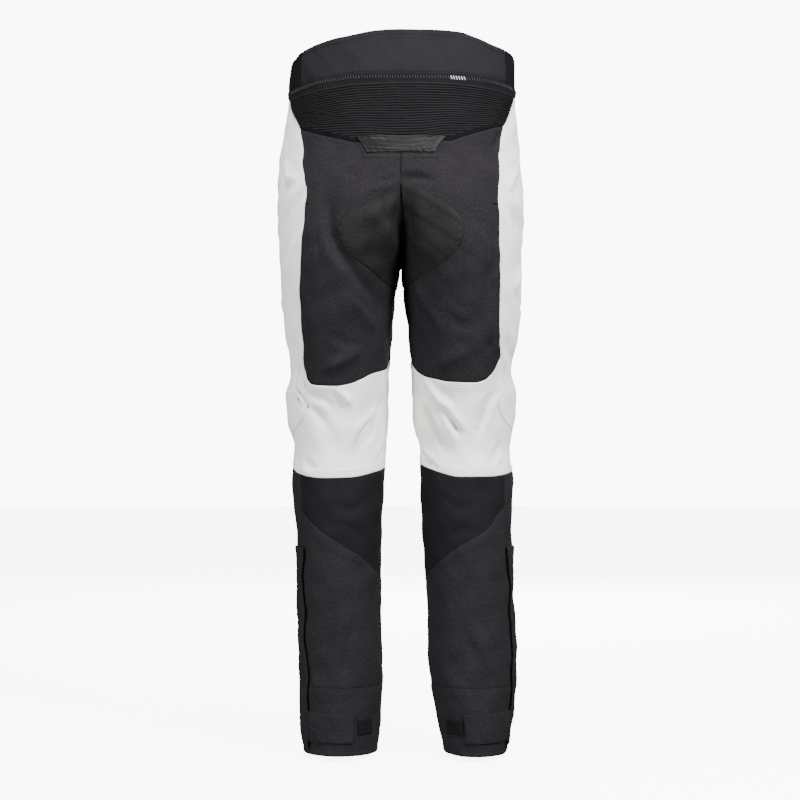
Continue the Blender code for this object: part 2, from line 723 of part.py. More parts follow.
def cuff_fittings(side):
    """Storm flap over the leg zip, cuff tab and square loop patch."""
    def flap_edge(_, height):
        return outer_leg_seam(side, height) - FLAP_OVERLAP + FLAP_WAVE * math.sin(height / FLAP_WAVE_LENGTH)

    def flap_root(_, height):
        return outer_leg_seam(side, height) + FLAP_REACH

    def tab_end(_, height):
        return flap_edge(side, height) - TAB_CLEARANCE

    leg = [node_name(piece, side) for piece in ("Lower_Back", "Lower_Front", "Cuff_Back")]
    flap = half_grid(side, (level(FLAP_TOP), 16, level(FLAP_FOOT)), (flap_edge, 3, flap_root))
    lay_on(node_name("Zip_Flap", side), BLACK_SHELL, flap, FLAP_THICK, leg)
    tab = half_grid(side, (level(TAB_TOP), 3, level(TAB_FOOT)), (at_turn(TAB_TIP[side]), 7, tab_end))
    lay_on(node_name("Cuff_Tab", side), STRETCH, tab, TAB_THICK, leg)
    loop_start, loop_end = LOOP_TURNS[side]
    loop = half_grid(side, (level(LOOP_TOP), 2, level(LOOP_FOOT)), (at_turn(loop_start), 3, at_turn(loop_end)))
    lay_on(node_name("Loop_Patch", side), ELASTIC, loop, PATCH_THICK, leg)


def clear_scene():
    """Start from an empty scene with the garment's collection."""
    for item in list(bpy.data.objects):
        bpy.data.objects.remove(item, do_unlink=True)
    collection = bpy.data.collections.new(COLLECTION_NAME)
    bpy.context.scene.collection.children.link(collection)


def main():
    """Build the whole garment."""
    clear_scene()
    waistband()
    press_stud()
    connection_zip()
    rib_panel()
    for side in SIDES:
        thigh_panels(side)
        seat_patch(side)
        knee_panels(side)
        lower_leg_panels(side)
        cuff_fittings(side)
    back_patch()
    fly_placket()


if __name__ == "__main__":
    main()
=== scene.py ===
"""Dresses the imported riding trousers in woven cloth, ribbing, sewing, zips, tabs and a press stud.

Tables are in millimetres and degrees. The back of the garment faces -Y, +X is the wearer's right
and the waist is at the origin. A turn of 0 is the inner side of a leg, 90 the back, 180 the outer
side and 270 the front.
"""
import math
from collections import namedtuple

import bpy
import numpy as np
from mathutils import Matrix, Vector


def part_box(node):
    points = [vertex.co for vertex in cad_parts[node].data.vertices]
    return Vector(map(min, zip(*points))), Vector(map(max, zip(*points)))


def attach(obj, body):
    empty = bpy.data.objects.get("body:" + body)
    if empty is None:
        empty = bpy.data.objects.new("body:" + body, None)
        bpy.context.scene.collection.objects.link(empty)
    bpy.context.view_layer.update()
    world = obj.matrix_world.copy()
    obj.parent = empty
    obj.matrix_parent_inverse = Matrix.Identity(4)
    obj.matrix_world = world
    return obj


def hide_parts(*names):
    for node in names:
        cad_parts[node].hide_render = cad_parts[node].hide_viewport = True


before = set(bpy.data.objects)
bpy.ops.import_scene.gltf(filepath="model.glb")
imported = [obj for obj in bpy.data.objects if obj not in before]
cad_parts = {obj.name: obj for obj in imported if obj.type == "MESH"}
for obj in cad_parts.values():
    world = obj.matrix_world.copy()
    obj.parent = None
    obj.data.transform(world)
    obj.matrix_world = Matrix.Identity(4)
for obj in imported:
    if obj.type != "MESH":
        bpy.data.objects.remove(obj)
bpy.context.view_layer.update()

bl_info = {
    "name": "Riding Trousers Looks",
    "version": (1, 0, 0),
    "blender": (4, 5, 0),
    "location": "View3D > Sidebar > Trousers",
    "description": "Dresses the packed riding trousers in cloth, sewing, zips and fittings",
    "category": "Object",
}

MM = 0.001
SIDES = ("left", "right")
SIGN = {"left": -1, "right": 1}

# Levels of the garment, the range in which rows are looked for, and small gaps
YOKE_LEVEL = -128
CROTCH_LEVEL = -305
HEM_SEAM_LEVEL = -922
HEM_LEVEL = -1023
TOP_LIMIT = 80
FOOT_LIMIT = -1060
HALVINGS = 26
CENTRE_GAP = 0.15

# Turns of the form
INNER, BACK, OUTER, FRONT, ALL_ROUND = 0, 90, 180, 270, 360

# Cloth thicknesses
SHELL = 2.0
WAISTBAND_THICK = 2.6
RIB_CLOTH = 1.6
TAPE_THICK = 1.4
PATCH_THICK = 1.2
FLAP_THICK = 1.6
TAB_THICK = 1.8


class Curve:
    """A smooth line through stations that never swings past them."""

    def __init__(self, stations):
        stations = sorted(stations)
        self.places = np.array([place for place, _ in stations], float)
        self.values = np.array([value for _, value in stations], float)
        steps = np.diff(self.values) / np.diff(self.places)
        before, after = steps[:-1], steps[1:]
        same_way = before * after > 0
        total = np.where(same_way, before + after, 1.0)
        inner = np.where(same_way, 2 * before * after / total, 0.0)
        self.slopes = np.concatenate((steps[:1], inner, steps[-1:]))

    def __call__(self, place):
        place = np.clip(place, self.places[0], self.places[-1])
        k = np.clip(np.searchsorted(self.places, place, side="right") - 1, 0, len(self.places) - 2)
        span = self.places[k + 1] - self.places[k]
        s = (place - self.places[k]) / span
        rest = 1 - s
        ends = self.values[k] * rest * rest * (1 + 2 * s) + self.values[k + 1] * s * s * (3 - 2 * s)
        return ends + span * s * rest * (self.slopes[k] * rest - self.slopes[k + 1] * s)


def side_curves(left, right=None):
    """A function of (side, place) for the stations of the left and right sides, or of both."""
    curves = {"left": Curve(left), "right": Curve(right or left)}
    return lambda side, place: curves[side](place)


# Half widths and depths of the form, one row a height: the outer and inner sides of a leg from the
# centre plane, and its back and front from the plane through the sides, left leg and then right.
SECTIONS = (
    (60, 159, -159, 102, 106, 166, -166, 102, 106),
    (0, 164, -164, 110, 112, 169, -169, 110, 112),
    (-50, 168, -168, 116, 116, 170, -170, 116, 116),
    (-100, 175, -175, 125, 118, 175, -175, 125, 118),
    (-128, 179, -179, 131, 119, 177, -177, 131, 119),
    (-170, 183, -122, 140, 119, 180, -122, 140, 119),
    (-215, 184, -68, 145, 117, 183, -68, 145, 117),
    (-260, 183, -28, 143, 114, 181, -28, 143, 114),
    (-305, 180, 0, 136, 111, 179, 0, 136, 111),
    (-350, 178, 9, 124, 108, 180, 4.5, 124, 108),
    (-400, 173, 13, 112, 104, 176, 11, 112, 104),
    (-460, 165, 18.5, 94, 99, 166, 16, 94, 99),
    (-495, 174, 19, 84, 98, 173, 17, 84, 98),
    (-530, 171, 19.5, 77, 96, 171, 18, 77, 96),
    (-575, 160, 22.5, 74, 88, 163, 28, 74, 88),
    (-620, 163, 24.5, 80, 77, 168, 29, 80, 77),
    (-700, 156, 29, 90, 66, 165, 32, 90, 66),
    (-800, 153, 30, 86, 60, 166, 39, 86, 62),
    (-890, 152, 27.5, 79, 58, 171, 41, 81, 62),
    (-970, 150, 30, 74, 60, 165, 53, 78, 66),
    (-1030, 146, 35, 70, 62, 158, 65, 75, 68),
)
FORM = {
    (side, column): Curve([(row[0], row[1 + 4 * k + number]) for row in SECTIONS])
    for k, side in enumerate(SIDES)
    for number, column in enumerate(("outer", "inner", "back", "front"))
}

# How square the front is at each height: 1 is an ellipse, less is flatter.
SQUARENESS = Curve(((-330, 1.0), (-215, 0.72), (-100, 0.85), (60, 0.9)))

# Seam lines that run round the body: (turn, height) stations
waist_top = side_curves(
    ((90, 37), (102, 36), (117, 30), (134, 24), (149, 16), (170, 4), (185, 1), (270, -6)),
    ((90, 37), (101, 37), (119, 36), (131, 29), (145, 20.5), (166, 14), (185, 8), (270, -6)),
)
band_bottom = side_curves(
    ((90, -29), (111, -28), (130, -31), (147, -36), (172, -43), (178, -46), (270, -46)),
    ((90, -29), (115, -28), (137, -30), (160, -34), (174, -40), (181, -46), (270, -46)),
)
rib_top = side_curves(
    ((90, -41), (111, -42), (129, -46), (146, -51), (164, -53), (172, -52), (178, -46),
     (270, -46)),
    ((90, -41), (115, -41), (137, -44), (160, -48), (174, -50), (181, -46), (270, -46)),
)
yoke = side_curves(
    ((90, -126), (100, -127), (111, -129), (120, -123), (132, -115), (146, -106), (270, -106)),
    ((90, -126), (100, -127), (112, -127), (120, -120), (131, -110), (148, -100), (270, -100)),
)
knee_top = side_curves(
    ((0, -441), (13, -453), (45, -461), (59, -468), (76, -477), (92, -480), (119, -478),
     (128, -470), (132, -459), (134, -451), (143, -448), (270, -440), (360, -441)),
    ((0, -441), (13, -449), (39, -464), (58, -470), (74, -474), (101, -475), (114, -471),
     (127, -459), (132, -446), (134, -441), (143, -440), (270, -438), (360, -441)),
)
knee_bottom = side_curves(
    ((0, -600), (38, -606), (74, -613), (111, -614), (149, -608), (180, -601), (270, -604),
     (360, -600)),
    ((0, -594), (37, -601), (80, -612), (118, -612), (150, -609), (180, -606), (270, -602),
     (360, -594)),
)
calf_edge = side_curves(
    ((0, -776), (23, -759), (56, -730), (96, -703), (130, -676), (143, -664), (250, -690),
     (360, -776)),
    ((0, -772), (32, -749), (76, -714), (117, -686), (140, -659), (250, -686), (360, -772)),
)

# Seam lines that run up and down: (height, turn) stations
outer_back_seam = side_curves(
    ((-485, 134), (-446, 134), (-420, 131), (-250, 128), (-204, 130), (-159, 139), (-104, 147),
     (-74, 160), (-43, 172)),
    ((-485, 134), (-438, 134), (-415, 129), (-377, 126), (-226, 131), (-158, 141), (-104, 148),
     (-74, 161), (-40, 174)),
)
outer_front_seam = side_curves(
    ((-470, 218), (-300, 226), (-46, 214)),
)
knee_cup_seam = side_curves(
    ((-640, 191.6), (-590, 191.6), (-568, 187), (-556, 172), (-545, 150), (-536, 136),
     (-524, 127), (-508, 122), (-500, 124), (-491, 132), (-482, 143), (-440, 143)),
    ((-640, 191.6), (-588, 191.6), (-562, 187), (-548, 172), (-540, 154), (-534, 143),
     (-522, 133), (-509, 129), (-500, 132), (-490, 139), (-478, 143), (-430, 143)),
)
outer_leg_seam = side_curves(
    ((-1023, 145), (-942, 143), (-850, 147), (-760, 150), (-700, 146), (-640, 142), (-590, 142)),
    ((-1023, 158), (-944, 157), (-884, 156), (-796, 158), (-720, 153), (-640, 142), (-590, 142)),
)
elastic_back_end = side_curves(
    ((-50, 153), (30, 153)),
    ((-50, 156), (30, 156)),
)
elastic_front_end = side_curves(
    ((-50, 212), (30, 212)),
)
seat_patch_edge = side_curves(
    ((-337, 14), (-330, 34), (-320, 48), (-300, 70), (-288, 83), (-272, 92), (-255, 97),
     (-242, 97), (-230, 95), (-220, 91), (-211, 86), (-203, 82), (-194, 78)),
    ((-334, 14), (-328, 34), (-319, 46), (-306, 65), (-294, 78), (-278, 90), (-259, 97),
     (-247, 99), (-234, 98), (-224, 94), (-210, 87), (-198, 82), (-191, 79)),
)

# A fold or crease: its side, half width, height (below 0 is a trough) and the (turn, height)
# points of its route. First the largest folds, in the form's own sizes.
Fold = namedtuple("Fold", "side width rise route")
FOLDS = tuple(Fold(side, width, rise, route) for side, width, rise, *route in (
    ("left", 15, -4.5, (112, -216), (104, -257), (93, -284), (76, -309), (57, -339), (44, -359)),
    ("left", 20, 3.0, (73, -235), (53, -269), (40, -290)),
    ("left", 18, 3.0, (76, -355), (58, -384), (41, -414)),
    ("left", 20, -3.0, (104, -420), (76, -400), (50, -396)),
    ("right", 18, 3.0, (99, -426), (77, -442), (55, -455)),
    ("right", 16, -3.5, (118, -300), (112, -345), (104, -380)),
    ("right", 15, 3.0, (45, -357), (41, -325)),
    ("left", 15, -4.0, (121, -490), (106, -499), (86, -516)),
    ("left", 14, -3.5, (118, -512), (106, -530), (94, -560)),
    ("left", 17, -4.5, (30, -510), (52, -544), (68, -580)),
    ("left", 18, 3.5, (60, -490), (70, -520), (84, -560)),
    ("right", 17, -4.5, (21, -490), (45, -524), (62, -575)),
    ("right", 15, -4.0, (124, -488), (112, -512), (98, -570)),
    ("right", 17, 4.0, (42, -480), (64, -515), (80, -550)),
    ("right", 14, -3.0, (62, -500), (78, -535), (86, -560)),
    ("left", 22, -3.0, (95, -790), (104, -850), (118, -895)),
    ("right", 22, -3.0, (80, -780), (92, -840), (70, -900)),
    ("left", 20, -4.0, (250, -470), (280, -480), (310, -476)),
    ("right", 20, -4.0, (248, -474), (278, -484), (312, -474)),
    ("left", 18, -3.5, (300, -250), (282, -300), (262, -330)),
    ("right", 18, -3.5, (300, -250), (280, -296), (264, -336)),
    ("left", 22, -3.5, (230, -640), (265, -655), (310, -648)),
    ("right", 22, -3.5, (232, -634), (268, -650), (308, -646)),
))

# Narrow creases on the folds
CREASES = tuple(Fold(side, width, rise, route) for side, width, rise, *route in (
    ("left", 7, -7, (114, -206), (104, -257), (93, -284), (76, -309), (57, -339), (40, -366)),
    ("left", 5, -2.6, (92, -192), (84, -186), (75, -183)),
    ("right", 5, -4.2, (72, -187), (80, -182), (88, -182), (95, -190)),
    ("right", 8, -4, (80, -192), (75, -204), (64, -226), (56, -250), (50, -280)),
    ("right", 17, -6, (70, -196), (60, -224), (48, -250), (32, -278), (16, -300)),
    ("left", 10, -6, (70, -196), (60, -224), (48, -250), (32, -278), (16, -300)),
    ("left", 4, 2.4, (78, -348), (60, -378), (48, -402)),
    ("left", 6, -3, (79, -206), (70, -238), (61, -282)),
    ("left", 8, 3, (73, -235), (53, -269), (31, -293)),
    ("right", 6, -3, (124, -292), (118, -312), (113, -331)),
    ("left", 7, 3.2, (76, -355), (58, -384), (41, -414)),
    ("left", 7, 6, (112, -462), (88, -445), (61, -430)),
    ("left", 6, -2.7, (100, -402), (80, -418), (58, -416)),
    ("right", 7, 3, (45, -357), (41, -325)),
    ("right", 8, 2.7, (51, -458), (77, -442), (99, -426)),
    ("right", 6, -2.7, (66, -372), (84, -390), (104, -398)),
    ("right", 6, -3, (118, -406), (115, -435)),
    ("right", 6, -2.4, (30, -340), (52, -392), (60, -420)),
    ("left", 5, -4.6, (123, -490), (106, -497), (89, -513)),
    ("left", 5, -4, (121, -507), (110, -522), (101, -541)),
    ("left", 5, 7.7, (92, -483), (78, -497), (74, -512)),
    ("left", 6, -10.1, (36, -515), (52, -544), (67, -575)),
    ("left", 4, -8.1, (23, -493), (41, -530), (52, -566)),
    ("left", 5, -4.4, (146, -581), (127, -596), (112, -605)),
    ("left", 4, -6, (18, -567), (33, -589)),
    ("right", 5, -10.1, (21, -493), (45, -522), (62, -581)),
    ("right", 5, -7.4, (127, -485), (113, -507), (100, -569)),
    ("right", 5, 8.1, (42, -468), (61, -500), (78, -518)),
    ("right", 4, -8.8, (61, -507), (78, -537), (85, -559)),
    ("right", 4, -5.9, (143, -559), (129, -581), (123, -595)),
    ("right", 4, -6.8, (14, -575), (37, -592), (54, -603)),
    ("left", 8, 2.6, (81, -791), (95, -850), (118, -895)),
    ("left", 6, -2.3, (60, -800), (78, -860), (84, -905)),
    ("right", 7, -2.3, (60, -790), (84, -850), (104, -900)),
    ("left", 6, -2.1, (40, -640), (70, -662), (104, -652)),
    ("right", 6, -2.1, (48, -636), (80, -660), (112, -646)),
    ("left", 6, -2, (50, -700), (82, -682), (118, -690)),
    ("right", 6, -2, (60, -704), (86, -686), (112, -694)),
    ("right", 5, -5.8, (146, -105), (140, -136)),
    ("left", 5, -1.6, (120, -150), (108, -172), (98, -182)),
    ("right", 5, -1.6, (122, -148), (114, -174), (102, -192)),
    ("left", 6, -2.4, (230, -486), (262, -500), (300, -490), (330, -470)),
    ("right", 6, -2.4, (228, -490), (264, -502), (302, -488), (332, -474)),
    ("left", 6, -2, (236, -520), (268, -534), (306, -524)),
    ("right", 6, -2, (240, -526), (272, -538), (304, -530)),
    ("left", 6, -1.8, (218, -560), (256, -572), (290, -566)),
    ("right", 6, -1.8, (220, -556), (252, -570), (294, -562)),
    ("left", 7, -2.6, (318, -240), (298, -282), (268, -322)),
    ("right", 7, -2.6, (316, -244), (296, -284), (270, -328)),
    ("left", 7, -2, (330, -300), (304, -344), (282, -368)),
    ("right", 7, -2, (332, -306), (306, -340), (280, -372)),
    ("left", 7, 1.8, (250, -180), (262, -226), (268, -262)),
    ("right", 7, 1.8, (252, -176), (264, -220), (270, -268)),
    ("left", 6, -5.8, (160, -240), (180, -262), (204, -270)),
    ("right", 6, -5.8, (162, -232), (184, -256), (206, -268)),
    ("left", 6, -5.8, (150, -350), (176, -372), (200, -366)),
    ("right", 6, -5.8, (152, -346), (180, -366), (204, -362)),
    ("left", 7, -2, (212, -648), (248, -668), (290, -660)),
    ("right", 7, -2, (214, -644), (250, -662), (292, -656)),
    ("left", 7, -1.8, (220, -760), (256, -800), (296, -806)),
    ("right", 7, -1.8, (222, -770), (258, -806), (300, -800)),
    ("left", 7, -1.6, (240, -900), (270, -930), (310, -926)),
    ("right", 7, -1.6, (238, -896), (272, -926), (308, -932)),
    ("left", 6, -7.5, (130, -186), (146, -224), (162, -252)),
    ("left", 7, 6.5, (132, -256), (146, -296), (162, -330)),
    ("left", 6, -7.5, (132, -380), (148, -420), (164, -446)),
    ("left", 6, 6, (166, -140), (152, -172), (138, -180)),
    ("right", 8, -6, (138, -206), (154, -240), (172, -262)),
    ("right", 9, 6, (172, -300), (156, -326), (142, -340)),
    ("right", 8, -6.6, (136, -404), (150, -430), (170, -446)),
    ("right", 7, 5.5, (166, -160), (152, -176), (142, -196)),
))

# Creases are softer round the outer side of a leg, where the cloth hangs smooth, and thin out
# towards their ends. Beside each lies a shoulder: how far away it is and how wide, in widths of
# the crease, how high, and how much higher on one side than the other.
CALM_SHARE = 0.8
CALM_WIDTH = 16
TAPER_POWER = 1.3
SHOULDER_AWAY = 2.0
SHOULDER_WIDTH = 1.15
SHOULDER_RISE = 0.32
SHOULDER_LEAN = 0.18

# Soft unevenness of all the cloth: round-the-leg and up-the-leg wavelengths, phase and height
WANDER = (
    (96, 140, 0.3, 0.5), (61, -88, 1.9, 0.4), (43, 57, 4.1, 0.3), (150, -47, 2.6, 0.4),
    (23, 31, 0.8, 0.12),
)

# Distances from a border at which a panel's mesh is finer, and the places of a length's samples
FINE_STEPS = (0.0, 0.8, 1.8, 3.0, 4.4, 6.2, 8.6)
PROBE = np.linspace(0, 1, 7)

# One border of a panel: depth of its seam groove, height of the folded allowance beside it, the
# distances of its stitch rows and the turns between which it is sewn.
Border = namedtuple("Border", "dip lap rows turns", defaults=((-1, 361),))
PLAIN = Border(0.0, 0.0, ())
SEAM = Border(1.0, 0.0, ())
FLAT_SEAM = Border(0.35, 0.0, ())
SEWN = Border(0.9, 0.5, (3.0,))
TWIN = Border(0.9, 0.7, (4.5, 9.0))
HEM = Border(0.5, 0.5, (6.0,))
EDGE = Border(0.4, 0.0, (2.6,))

# Half widths of a seam groove and of a stitch row's channel, that channel's depth, how far an
# allowance runs past the last row, and the height and reach of the puckers at the first row
GROOVE_WIDTH = 1.5
CHANNEL_WIDTH = 0.9
CHANNEL_DEPTH = 0.55
LAP_REACH = 2.5
PUCKER_RISE = 0.45
PUCKER_REACH = 3.5

# Reach of the wear beside a border, and the least share of its width times length that a sheet is
WEAR_REACH = 3.0
LEAST_SHARE = 0.31

# Spacing of the points along a line of sewing that lies across a panel
ROUTE_STEP = 1.5

# A stitch: its sides, and for each ring the place along it, its size and its rise
STITCH_SIDES = 5
STITCH_RINGS = ((-0.5, 0.5, -0.5), (-0.34, 1.0, 0.15), (0.34, 1.0, 0.15), (0.5, 0.5, -0.5))


def level(height):
    """A row line at one height all round."""
    return lambda side, turn: np.full(np.shape(turn), float(height))


def at_turn(turn):
    """A column line at one turn all the way down."""
    return lambda side, height: np.full(np.shape(height), float(turn))


def below(line, drop):
    """A row line that runs a fixed drop under another."""
    return lambda side, turn: line(side, turn) - drop


def ellipse(side, height):
    """Centre and half axes of one leg's section: centre x, half width, centre y, half depth."""
    outer = FORM[side, "outer"](height)
    inner = np.where(height >= YOKE_LEVEL, -outer, FORM[side, "inner"](height))
    back = FORM[side, "back"](height)
    front = FORM[side, "front"](height)
    return (outer + inner) / 2, (outer - inner) / 2, (front - back) / 2, (front + back) / 2


def rise_turn(side, height):
    """Turn at which one leg's section meets the centre plane at the back; 0 below the crotch."""
    centre, half_width, _, _ = ellipse(side, height)
    turn = np.degrees(np.arccos(np.clip(centre / half_width, -1, 1)))
    return np.where(height <= CROTCH_LEVEL, 0.0, turn)


def front_rise_turn(side, height):
    """The same at the front."""
    return ALL_ROUND - rise_turn(side, height)


def route_distance(fold, turn, height, arc):
    """Distance to a fold's route in the cloth, place along it from 0 to 1, and side of it."""
    nearest = np.full(turn.shape, np.inf)
    place = np.zeros(turn.shape)
    hand = np.zeros(turn.shape)
    count = len(fold.route) - 1
    for k, ((turn_a, high_a), (turn_b, high_b)) in enumerate(zip(fold.route, fold.route[1:])):
        along_x, along_y = (turn_b - turn_a) * arc, high_b - high_a
        reach_x, reach_y = (turn - turn_a) * arc, height - high_a
        share = (reach_x * along_x + reach_y * along_y) / (along_x ** 2 + along_y ** 2)
        share = np.clip(share, 0, 1)
        reach_x, reach_y = reach_x - share * along_x, reach_y - share * along_y
        gap = reach_x ** 2 + reach_y ** 2
        closer = gap < nearest
        nearest = np.where(closer, gap, nearest)
        place = np.where(closer, (k + share) / count, place)
        sine = (along_x * reach_y - along_y * reach_x) / np.hypot(along_x, along_y)
        hand = np.where(closer, sine / np.maximum(np.hypot(reach_x, reach_y), 1.0), hand)
    return np.sqrt(nearest), place, hand


def relief(side, turn, height, half_width, half_depth):
    """Height of the folds, creases and soft unevenness at each place of the form."""
    arc = math.radians(1) * (half_width + half_depth) / 2
    total = np.zeros(turn.shape)
    depth = bpy.context.scene.trousers_sizes.crease_depth
    calm = 1 - CALM_SHARE * np.exp(-((turn - OUTER) / CALM_WIDTH) ** 2)
    for fold in FOLDS:
        if fold.side == side:
            away, _, _ = route_distance(fold, turn, height, arc)
            total += fold.rise * np.exp(-(away / fold.width) ** 2)
    for number, fold in enumerate(CREASES):
        if fold.side != side:
            continue
        away, place, hand = route_distance(fold, turn, height, arc)
        taper = np.sin(math.pi * np.clip(place, 0.0, 1.0)) ** TAPER_POWER
        taper *= 1 + 0.25 * np.sin(9 * place + number)
        width = fold.width * (0.75 + 0.35 * taper)
        middle = np.exp(-(away / width) ** 1.6)
        shoulder = np.exp(-((away - SHOULDER_AWAY * width) / (SHOULDER_WIDTH * width)) ** 2)
        shoulder *= SHOULDER_RISE + SHOULDER_LEAN * hand
        total += depth * fold.rise * taper * (middle - shoulder) * calm
    round_way = turn * arc * SIGN[side]
    for across, up, phase, rise in WANDER:
        total += rise * np.sin(round_way * 2 * math.pi / across + height * 2 * math.pi / up + phase)
    return total


def surface(side, turn, height):
    """Outer points of the creased cloth, in millimetres."""
    centre_x, half_width, centre_y, half_depth = ellipse(side, height)
    angle = np.radians(turn)
    across, deep = -np.cos(angle), -np.sin(angle)
    deep = np.where(deep > 0, np.abs(deep) ** SQUARENESS(height), deep)
    out_x, out_y = across / half_width, deep / half_depth
    size = np.hypot(out_x, out_y)
    lift = relief(side, turn, height, half_width, half_depth)
    x = centre_x + half_width * across + out_x / size * lift
    y = centre_y + half_depth * deep + out_y / size * lift
    return np.stack((SIGN[side] * x, y, height), axis=-1)


def route_line(side, route, lift):
    """Points and normals of a line of sewing across the cloth, along (turn, height) places."""
    stops = np.array(route, float)
    places = []
    for before, after in zip(stops, stops[1:]):
        count = max(2, int(np.hypot(*(after - before)) / ROUTE_STEP))
        places.append(before + (after - before) * np.arange(count)[:, None] / count)
    turn, height = np.concatenate(places + [stops[-1:]]).T
    points, round_way, upward = (
        surface(side, turn + more, height + higher) for more, higher in ((0, 0), (1, 0), (0, 2))
    )
    normals = np.cross(round_way - points, upward - points) * SIGN[side]
    normals /= np.linalg.norm(normals, axis=1, keepdims=True)
    return points + normals * lift, normals


def crossings(side, upper, down, lower, first, along, last):
    """Turn and height where each row of a panel meets each column, found by halving."""
    down = np.asarray(down)[:, None]
    along = np.asarray(along)[None, :]
    shape = (down.size, along.size)
    high = np.full(shape, float(TOP_LIMIT))
    low = np.full(shape, float(FOOT_LIMIT))
    for _ in range(HALVINGS):
        height = (high + low) / 2
        turn = first(side, height) * (1 - along) + last(side, height) * along
        above = height > upper(side, turn) * (1 - down) + lower(side, turn) * down
        high = np.where(above, height, high)
        low = np.where(above, low, height)
    return turn, height


def run_lengths(points, axis=0):
    """Distance run along each row (axis 1) or column (axis 0) of a grid, or along one line."""
    steps = np.linalg.norm(np.diff(points, axis=axis), axis=-1)
    start = np.zeros_like(np.take(steps, [0], axis=axis))
    return np.concatenate((start, np.cumsum(steps, axis=axis)), axis=axis)


def on_line(places, run, values):
    """Values at places along a line, where run is how far along it each value lies."""
    return np.stack([np.interp(places, run, values[:, axis]) for axis in range(3)], axis=-1)


def spread(length, cell, fine_start=True, fine_end=True):
    """Fractions from 0 to 1 at the cloth's cell size, closer together at a fine end."""
    start = FINE_STEPS if fine_start else (0.0,)
    end = FINE_STEPS if fine_end else (0.0,)
    middle = length - start[-1] - end[-1]
    if middle <= cell:
        return np.linspace(0, 1, max(3, round(length / min(cell, 2.0))) + 1)
    count = max(2, round(middle / cell))
    inner = np.linspace(start[-1], length - end[-1], count + 1)
    places = list(start[:-1]) + list(inner) + [length - d for d in reversed(end[:-1])]
    return np.array(places) / length


def reach(side, upper, lower, first, last, axis):
    """Mean length of the cloth between four lines, down it (axis 0) or along it (axis 1)."""
    turn, height = crossings(side, upper, PROBE, lower, first, PROBE, last)
    return np.take(run_lengths(surface(side, turn, height), axis), -1, axis=axis).mean()


def row_places(side, lines, first, last, cell):
    """Fractions down from each row line to the next, finer at the panel's top and foot."""
    return [
        spread(reach(side, upper, lower, first, last, 0), cell, k == 0, k == len(lines) - 2)
        for k, (upper, lower) in enumerate(zip(lines, lines[1:]))
    ]


def half_points(side, lines, first, last, columns, rows):
    """Grid of one side's cloth points between row lines and two column lines, turn and height."""
    turns, heights = [], []
    for number, (upper, down, lower) in enumerate(zip(lines, rows, lines[1:])):
        turn, height = crossings(side, upper, down, lower, first, columns, last)
        turns.append(turn[min(number, 1):])
        heights.append(height[min(number, 1):])
    turn, height = np.concatenate(turns), np.concatenate(heights)
    return surface(side, turn, height), turn, height


def panel_points(side, lines, first, last, cell, rows):
    """Grid of a panel's points, turn and height; without a side it crosses the centre plane."""
    half = side or "left"
    width = reach(half, lines[0], lines[-1], first, last, 1)
    columns = spread(width, cell, fine_start=bool(side))
    rows = rows or row_places(half, lines, first, last, cell)
    if side:
        return half_points(side, lines, first, last, columns, rows)
    left, right = (half_points(half, lines, first, last, columns, rows) for half in SIDES)
    points, turn, height = (
        np.concatenate((left[k][:, :0:-1], right[k]), axis=1) for k in range(3)
    )
    centre = columns.size - 1
    points[:, centre] = (points[:, centre] + left[0][:, 0]) / 2
    points[:, centre, 0] = 0.0
    return points, turn, height


def grid_normals(points, hand):
    """Unit normals of a grid of points that face out of the garment."""
    across = np.gradient(points, axis=1)
    down = np.gradient(points, axis=0)
    normals = np.cross(across, down) * hand
    return normals / np.maximum(np.linalg.norm(normals, axis=-1, keepdims=True), 1e-9)


def border_distances(points):
    """Distance in the cloth from the top, bottom, first and last borders."""
    down = run_lengths(points, 0)
    along = run_lengths(points, 1)
    return down, down[-1] - down, along, along[:, -1:] - along


def border_relief(distances, borders, turn):
    """Seam grooves, folded allowances, stitch channels and puckers of a panel's borders."""
    total = np.zeros(distances[0].shape)
    for number, (away, border) in enumerate(zip(distances, borders)):
        first, last = border.turns
        sewn = np.clip((turn - first) / 2, 0, 1) * np.clip((last - turn) / 2, 0, 1)
        total -= sewn * border.dip * np.exp(-(away / GROOVE_WIDTH) ** 2)
        if border.rows:
            end = border.rows[-1] + LAP_REACH
            total += sewn * border.lap * np.clip((end - away) / GROOVE_WIDTH + 0.5, 0, 1)
            run = distances[0 if number >= 2 else 2]
            wave = np.sin(run / 1.6 + 1.7 * np.sin(run / 11.0)) * np.sin(run / 23.0 + number)
            near = np.exp(-((away - border.rows[0]) / PUCKER_REACH) ** 2)
            total += sewn * PUCKER_RISE * wave * near
        for row in border.rows:
            total -= sewn * CHANNEL_DEPTH * np.exp(-((away - row) / CHANNEL_WIDTH) ** 2)
    return total


def grid_faces(rows, columns, offset, flip):
    """Quads of one sheet of a panel."""
    index = np.arange(rows * columns).reshape(rows, columns) + offset
    quads = np.stack((index[:-1, :-1], index[:-1, 1:], index[1:, 1:], index[1:, :-1]), axis=-1)
    quads = quads.reshape(-1, 4)
    return quads[:, ::-1] if flip else quads


def rim_faces(rows, columns, flip):
    """Quads that join the outer and inner sheets all round."""
    outer = np.arange(rows * columns).reshape(rows, columns)
    loop = np.concatenate((outer[0, :], outer[1:, -1], outer[-1, -2::-1], outer[-2:0:-1, 0]))
    after = np.roll(loop, -1)
    inner = rows * columns
    quads = np.stack((after, loop, loop + inner, after + inner), axis=-1)
    return quads[:, ::-1] if flip else quads


